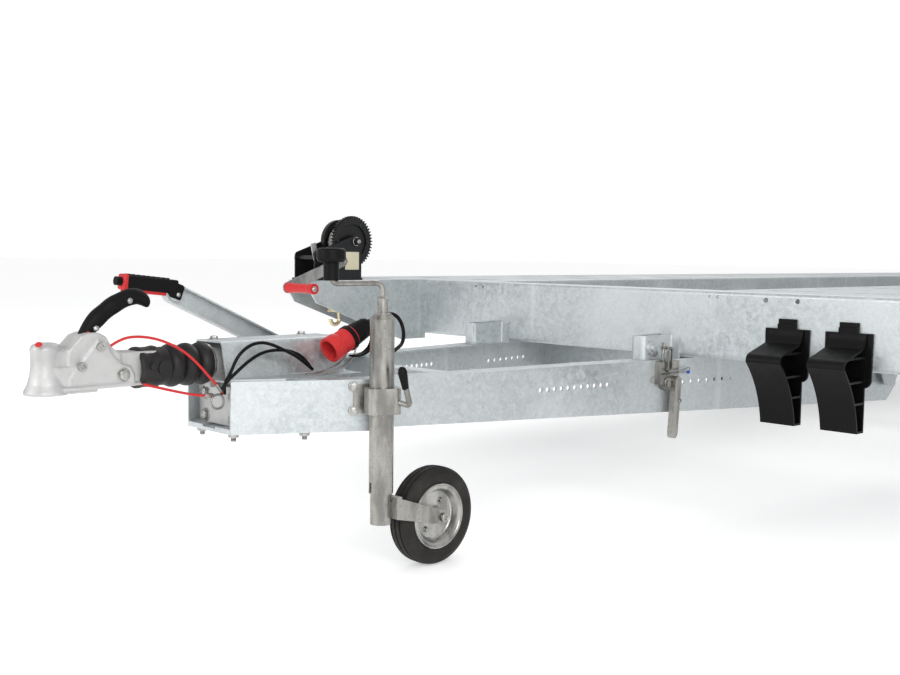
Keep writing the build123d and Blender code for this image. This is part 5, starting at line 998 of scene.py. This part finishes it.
class TRAILER_OT_winch(bpy.types.Operator):
    """Wind the strap, sew its end and add the pawl and the blank plate"""
    bl_idname = "trailer.winch"
    bl_label = "Winch"

    def execute(self, context):
        turns, steps = 11, 12
        spiral = []
        for index in range(turns * steps + 1):
            spin = index * math.tau / steps
            radius = 0.0172 + 0.0258 * index / (turns * steps)
            spiral.append((radius * math.cos(spin), radius * math.sin(spin)))
        width, thickness = 0.0450, 0.0017
        roll = band("strap_roll", spiral, width, thickness,
                    at(WINCH_STATION, -0.642, WINCH_HEIGHT))
        settle(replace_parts(roll, "winch_strap"), "strap", "winch_drum", 60.0)
        low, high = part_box("strap_tail")
        middle, side = (low.x + high.x) / 2.0, (low.y + high.y) / 2.0
        fold = [(0.0016, high.z), (0.0016, high.z - 0.020), (0.0022, low.z + 0.030),
                (0.0050, low.z + 0.010), (0.0045, low.z + 0.0012), (0.0, low.z + 0.0008),
                (-0.0045, low.z + 0.0012), (-0.0050, low.z + 0.010), (-0.0022, low.z + 0.030),
                (-0.0016, high.z - 0.020), (-0.0016, high.z)]
        tail = band("strap_end", fold, width, thickness, Vector((middle, side, 0.0)))
        settle(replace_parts(tail, "strap_tail"), "strap", "bed", 60.0)
        rows = []
        for row in range(6):
            height = high.z - 0.030 + 0.0045 * row
            line = [(middle + 0.0029, side - 0.018 + 0.004 * step, height) for step in range(10)]
            rows.append(wire("stitch", line, 0.0005))
        settle(joined("strap_stitches", rows), "strap", "bed", 60.0, "thread")
        pawl = bar("winch_pawl", (0.018, 0.004, 0.048), at(0.406, -0.6000, 0.6300),
                   pitched(-14.0), 0.0015)
        settle(pawl, "zinc_plate", "bed")
        label = bar("blank_plate", (0.050, 0.0006, 0.050), at(0.2815, -0.5888, 0.6055),
                    None, 0.0002)
        settle(label, "plate_white", "bed", 35.0, "cream")
        return {"FINISHED"}


# Steps around a road tyre; every third one is sunk between the ribs
TREAD_STEPS = 144


class TRAILER_OT_wheels(bpy.types.Operator):
    """Cut treads and sidewall rings into the road tyres"""
    bl_idname = "trailer.wheels"
    bl_label = "Road tyres"

    def execute(self, context):
        half = mm(
            (127, 78), (131, 87), (140, 88.5), (143, 93), (165, 96.5), (166.5, 97.5), (190, 97.5),
            (191.5, 96), (210, 92.5), (222, 86), (229.5, 78), (232, 70), (232.8, 47), (225.5, 45),
            (225.5, 40), (233.2, 38), (233.8, 16), (226, 14), (226, 9), (234, 7))
        profile = mirrored(half)
        source = turned("road_tyre", profile + [half[0]], TREAD_STEPS)
        self.cut_sipes(source)
        for end in ("front", "rear"):
            for side in ("left", "right"):
                node = f"tyre_{end}_{side}"
                low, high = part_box(node)
                tyre = placed(copied(source), (low + high) / 2.0, LEFT)
                tyre.name = f"tread_{end}_{side}"
                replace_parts(tyre, node)
                settle(tyre, "tyre", f"wheel_{end}_{side}", 28.0)
        bpy.data.objects.remove(source)
        return {"FINISHED"}

    def cut_sipes(self, tyre):
        """Sinks every third face of the tread's ribs"""
        alone(tyre)
        for face in tyre.data.polygons:
            middle = face.center
            reach = math.hypot(middle.x, middle.y)
            turn = round((math.atan2(middle.y, middle.x) / math.tau) * TREAD_STEPS - 0.5)
            shift = 1 if abs(middle.z) > 0.045 else 0
            face.select = (reach > 0.2300 and abs(face.normal.z) < 0.75
                           and (turn + shift) % 3 == 0)
        for edge in tyre.data.edges:
            edge.select = False
        for corner in tyre.data.vertices:
            corner.select = False
        bpy.ops.object.mode_set(mode="EDIT")
        bpy.ops.mesh.select_mode(type="FACE")
        bpy.ops.mesh.inset(thickness=0.0032, depth=-0.0045, use_individual=True)
        bpy.ops.mesh.select_mode(type="VERT")
        bpy.ops.object.mode_set(mode="OBJECT")


class TRAILER_OT_lamps(bpy.types.Operator):
    """Build the rear lamps and fix the plate"""
    bl_idname = "trailer.lamps"
    bl_label = "Rear lamps"

    def execute(self, context):
        low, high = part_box("rear_lamps")
        housings, reds, ambers, clears = [], [], [], []
        depth, height, length = high.x - low.x, high.z - low.z, 0.230
        middle = (low.z + high.z) / 2.0
        for side in (1.0, -1.0):
            outer, inner = high.y * side, (high.y - length) * side
            centre = (outer + inner) / 2.0
            place = Vector((high.x - 0.35 * depth, centre, middle))
            housings.append(bar("housing", (0.70 * depth, length, height), place, None, 0.006))
            zones = ((0.070, ambers), (0.100, reds), (0.040, clears))
            edge = 0.010
            for width, group in zones:
                y = outer - side * (edge + width / 2.0)
                place = Vector((low.x + 0.20 * depth, y, middle))
                group.append(bar("zone", (0.38 * depth, width - 0.002, height - 0.016), place,
                                 None, 0.005))
                edge += width
        settle(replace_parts(joined("lamp_housings", housings), "rear_lamps"), "black_plastic", "bed")
        settle(joined("lamp_red_zones", reds), "lamp_red", "bed")
        settle(joined("lamp_amber_zones", ambers), "lamp_red", "bed", 35.0, "lamp_amber")
        settle(joined("lamp_clear_zones", clears), "lamp_red", "bed", 35.0, "lamp_clear")
        low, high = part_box("number_plate")
        caps = [(Vector((low.x, side * 0.18, (low.z + high.z) / 2.0)), BACK)
                for side in (1.0, -1.0)]
        settle(set_out("plate_caps", dome_head(0.007), caps), "plate_white", "bed")
        return {"FINISHED"}


# Nodes that show another finish than their slot's
OTHER_FINISH = {"handbrake_lever": "galvanised_steel", "jockey_tube": "worn_zinc",
                "jockey_clamp": "worn_zinc", "jockey_fork": "worn_zinc",
                "latch": "worn_zinc"}


class TRAILER_OT_finishes(bpy.types.Operator):
    """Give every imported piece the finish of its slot"""
    bl_idname = "trailer.finishes"
    bl_label = "Finish the pieces"

    def execute(self, context):
        for part in frame["record"]["subparts"]:
            piece = NODES[part["node"]]
            piece.data.materials.clear()
            finish = OTHER_FINISH.get(part["node"], part["material_slot"])
            piece.data.materials.append(finish_for(finish))
        return {"FINISHED"}


class TRAILER_OT_studio(bpy.types.Operator):
    """Set out the floor, the soft light and the camera"""
    bl_idname = "trailer.studio"
    bl_label = "Studio"

    def execute(self, context):
        studio = context.scene.trailer_studio
        self.floor(studio)
        self.light(context, studio)
        self.camera(context, studio)
        return {"FINISHED"}

    def floor(self, studio):
        floor = primitive("grid", "studio_floor", x_subdivisions=8, y_subdivisions=8,
                          size=studio.floor_size)
        s = Shader("studio_floor")
        s.paint(s.noise(0.7), (0.88, 0.88, 0.88), (0.84, 0.84, 0.84))
        s.set(Roughness=0.6, Emission_Color=(1.0, 1.0, 1.0), Emission_Strength=0.34)
        floor.data.materials.append(s.material)

    def light(self, context, studio):
        world = bpy.data.worlds.new("studio_world")
        world.use_nodes = True
        background = world.node_tree.nodes["Background"]
        background.inputs["Strength"].default_value = studio.sky
        nodes, links = world.node_tree.nodes, world.node_tree.links
        split = nodes.new("ShaderNodeSeparateXYZ")
        links.new(nodes.new("ShaderNodeTexCoord").outputs["Generated"], split.inputs["Vector"])
        ramp = nodes.new("ShaderNodeValToRGB")
        ramp.color_ramp.interpolation = "EASE"
        for stop, position, colour in zip(ramp.color_ramp.elements, (0.02, 0.62),
                                          (HORIZON, CEILING)):
            stop.position = position
            stop.color = (*colour, 1.0)
        links.new(split.outputs["Z"], ramp.inputs["Fac"])
        seen = nodes.new("ShaderNodeLightPath").outputs["Is Camera Ray"]
        white = (1.0, 1.0, 1.0)
        links.new(mixed(world.node_tree, seen, ramp.outputs["Color"], white),
                  background.inputs["Color"])
        context.scene.world = world
        for name, place, size, power in STUDIO_LIGHTS:
            data = bpy.data.lights.new(name, "AREA")
            data.shape = "RECTANGLE"
            data.size, data.size_y = size
            data.energy = power
            lamp = bpy.data.objects.new(name, data)
            context.collection.objects.link(lamp)
            lamp.location = Vector(place) + Vector((BED_FRONT, 0.0, 0.0))
            aim = Vector((BED_FRONT, 0.0, 0.4)) - lamp.location
            lamp.rotation_euler = aim.to_track_quat("-Z", "Y").to_euler()

    def camera(self, context, studio):
        data = bpy.data.cameras.new("photo_camera")
        data.sensor_width = 36.0
        data.lens = studio.lens
        camera = bpy.data.objects.new("photo_camera", data)
        context.collection.objects.link(camera)
        ahead = Vector((-math.cos(studio.camera_yaw), -math.sin(studio.camera_yaw), 0.0))
        up = Vector(UP)
        right = ahead.cross(up)
        tip, roll = studio.camera_pitch, studio.camera_roll
        look = ahead * math.cos(tip) - up * math.sin(tip)
        top = up * math.cos(tip) + ahead * math.sin(tip)
        side = right * math.cos(roll) + top * math.sin(roll)
        top = top * math.cos(roll) - right * math.sin(roll)
        turn = Matrix((side, top, -look)).transposed()
        place = Vector((BED_FRONT + studio.camera_ahead, studio.camera_left,
                        studio.camera_height))
        camera.matrix_world = Matrix.Translation(place) @ turn.to_4x4()
        context.scene.camera = camera
        context.scene.view_settings.view_transform = "Standard"


# Light from the studio's walls and from its ceiling
HORIZON = (0.60, 0.61, 0.62)
CEILING = (0.72, 0.72, 0.72)

# Soft lights: name, place from the front beam, width and depth, watts
STUDIO_LIGHTS = (
    ("key_light", (3.2, 5.0, 2.6), (3.5, 3.0), 165.0),
    ("fill_light", (6.0, -1.5, 2.2), (3.5, 2.5), 105.0),
    ("back_light", (-4.0, -3.0, 5.0), (5.0, 3.0), 90.0),
)


class TRAILER_PT_panel(bpy.types.Panel):
    """Lists what dresses the trailer"""
    bl_label = "Car Hauler Trailer"
    bl_idname = "TRAILER_PT_panel"
    bl_space_type = "VIEW_3D"
    bl_region_type = "UI"
    bl_category = "Trailer"

    def draw(self, context):
        for operator in OPERATORS:
            self.layout.operator(operator.bl_idname)


GROUPS = ((TrailerColours, "trailer_colours"), (TrailerStudio, "trailer_studio"))
OPERATORS = (
    TRAILER_OT_studio, TRAILER_OT_finishes, TRAILER_OT_plug, TRAILER_OT_cables,
    TRAILER_OT_fasteners, TRAILER_OT_coupling, TRAILER_OT_handbrake, TRAILER_OT_jockey_wheel,
    TRAILER_OT_latch, TRAILER_OT_winch, TRAILER_OT_wheels, TRAILER_OT_lamps,
)


def register():
    for group, name in GROUPS:
        bpy.utils.register_class(group)
        setattr(bpy.types.Scene, name, bpy.props.PointerProperty(type=group))
    for operator in OPERATORS:
        bpy.utils.register_class(operator)
    bpy.utils.register_class(TRAILER_PT_panel)


def unregister():
    bpy.utils.unregister_class(TRAILER_PT_panel)
    for operator in reversed(OPERATORS):
        bpy.utils.unregister_class(operator)
    for group, name in reversed(GROUPS):
        delattr(bpy.types.Scene, name)
        bpy.utils.unregister_class(group)


def main():
    register()
    for operator in OPERATORS:
        group, action = operator.bl_idname.split(".")
        getattr(getattr(bpy.ops, group), action)()


if __name__ == "__main__":
    main()
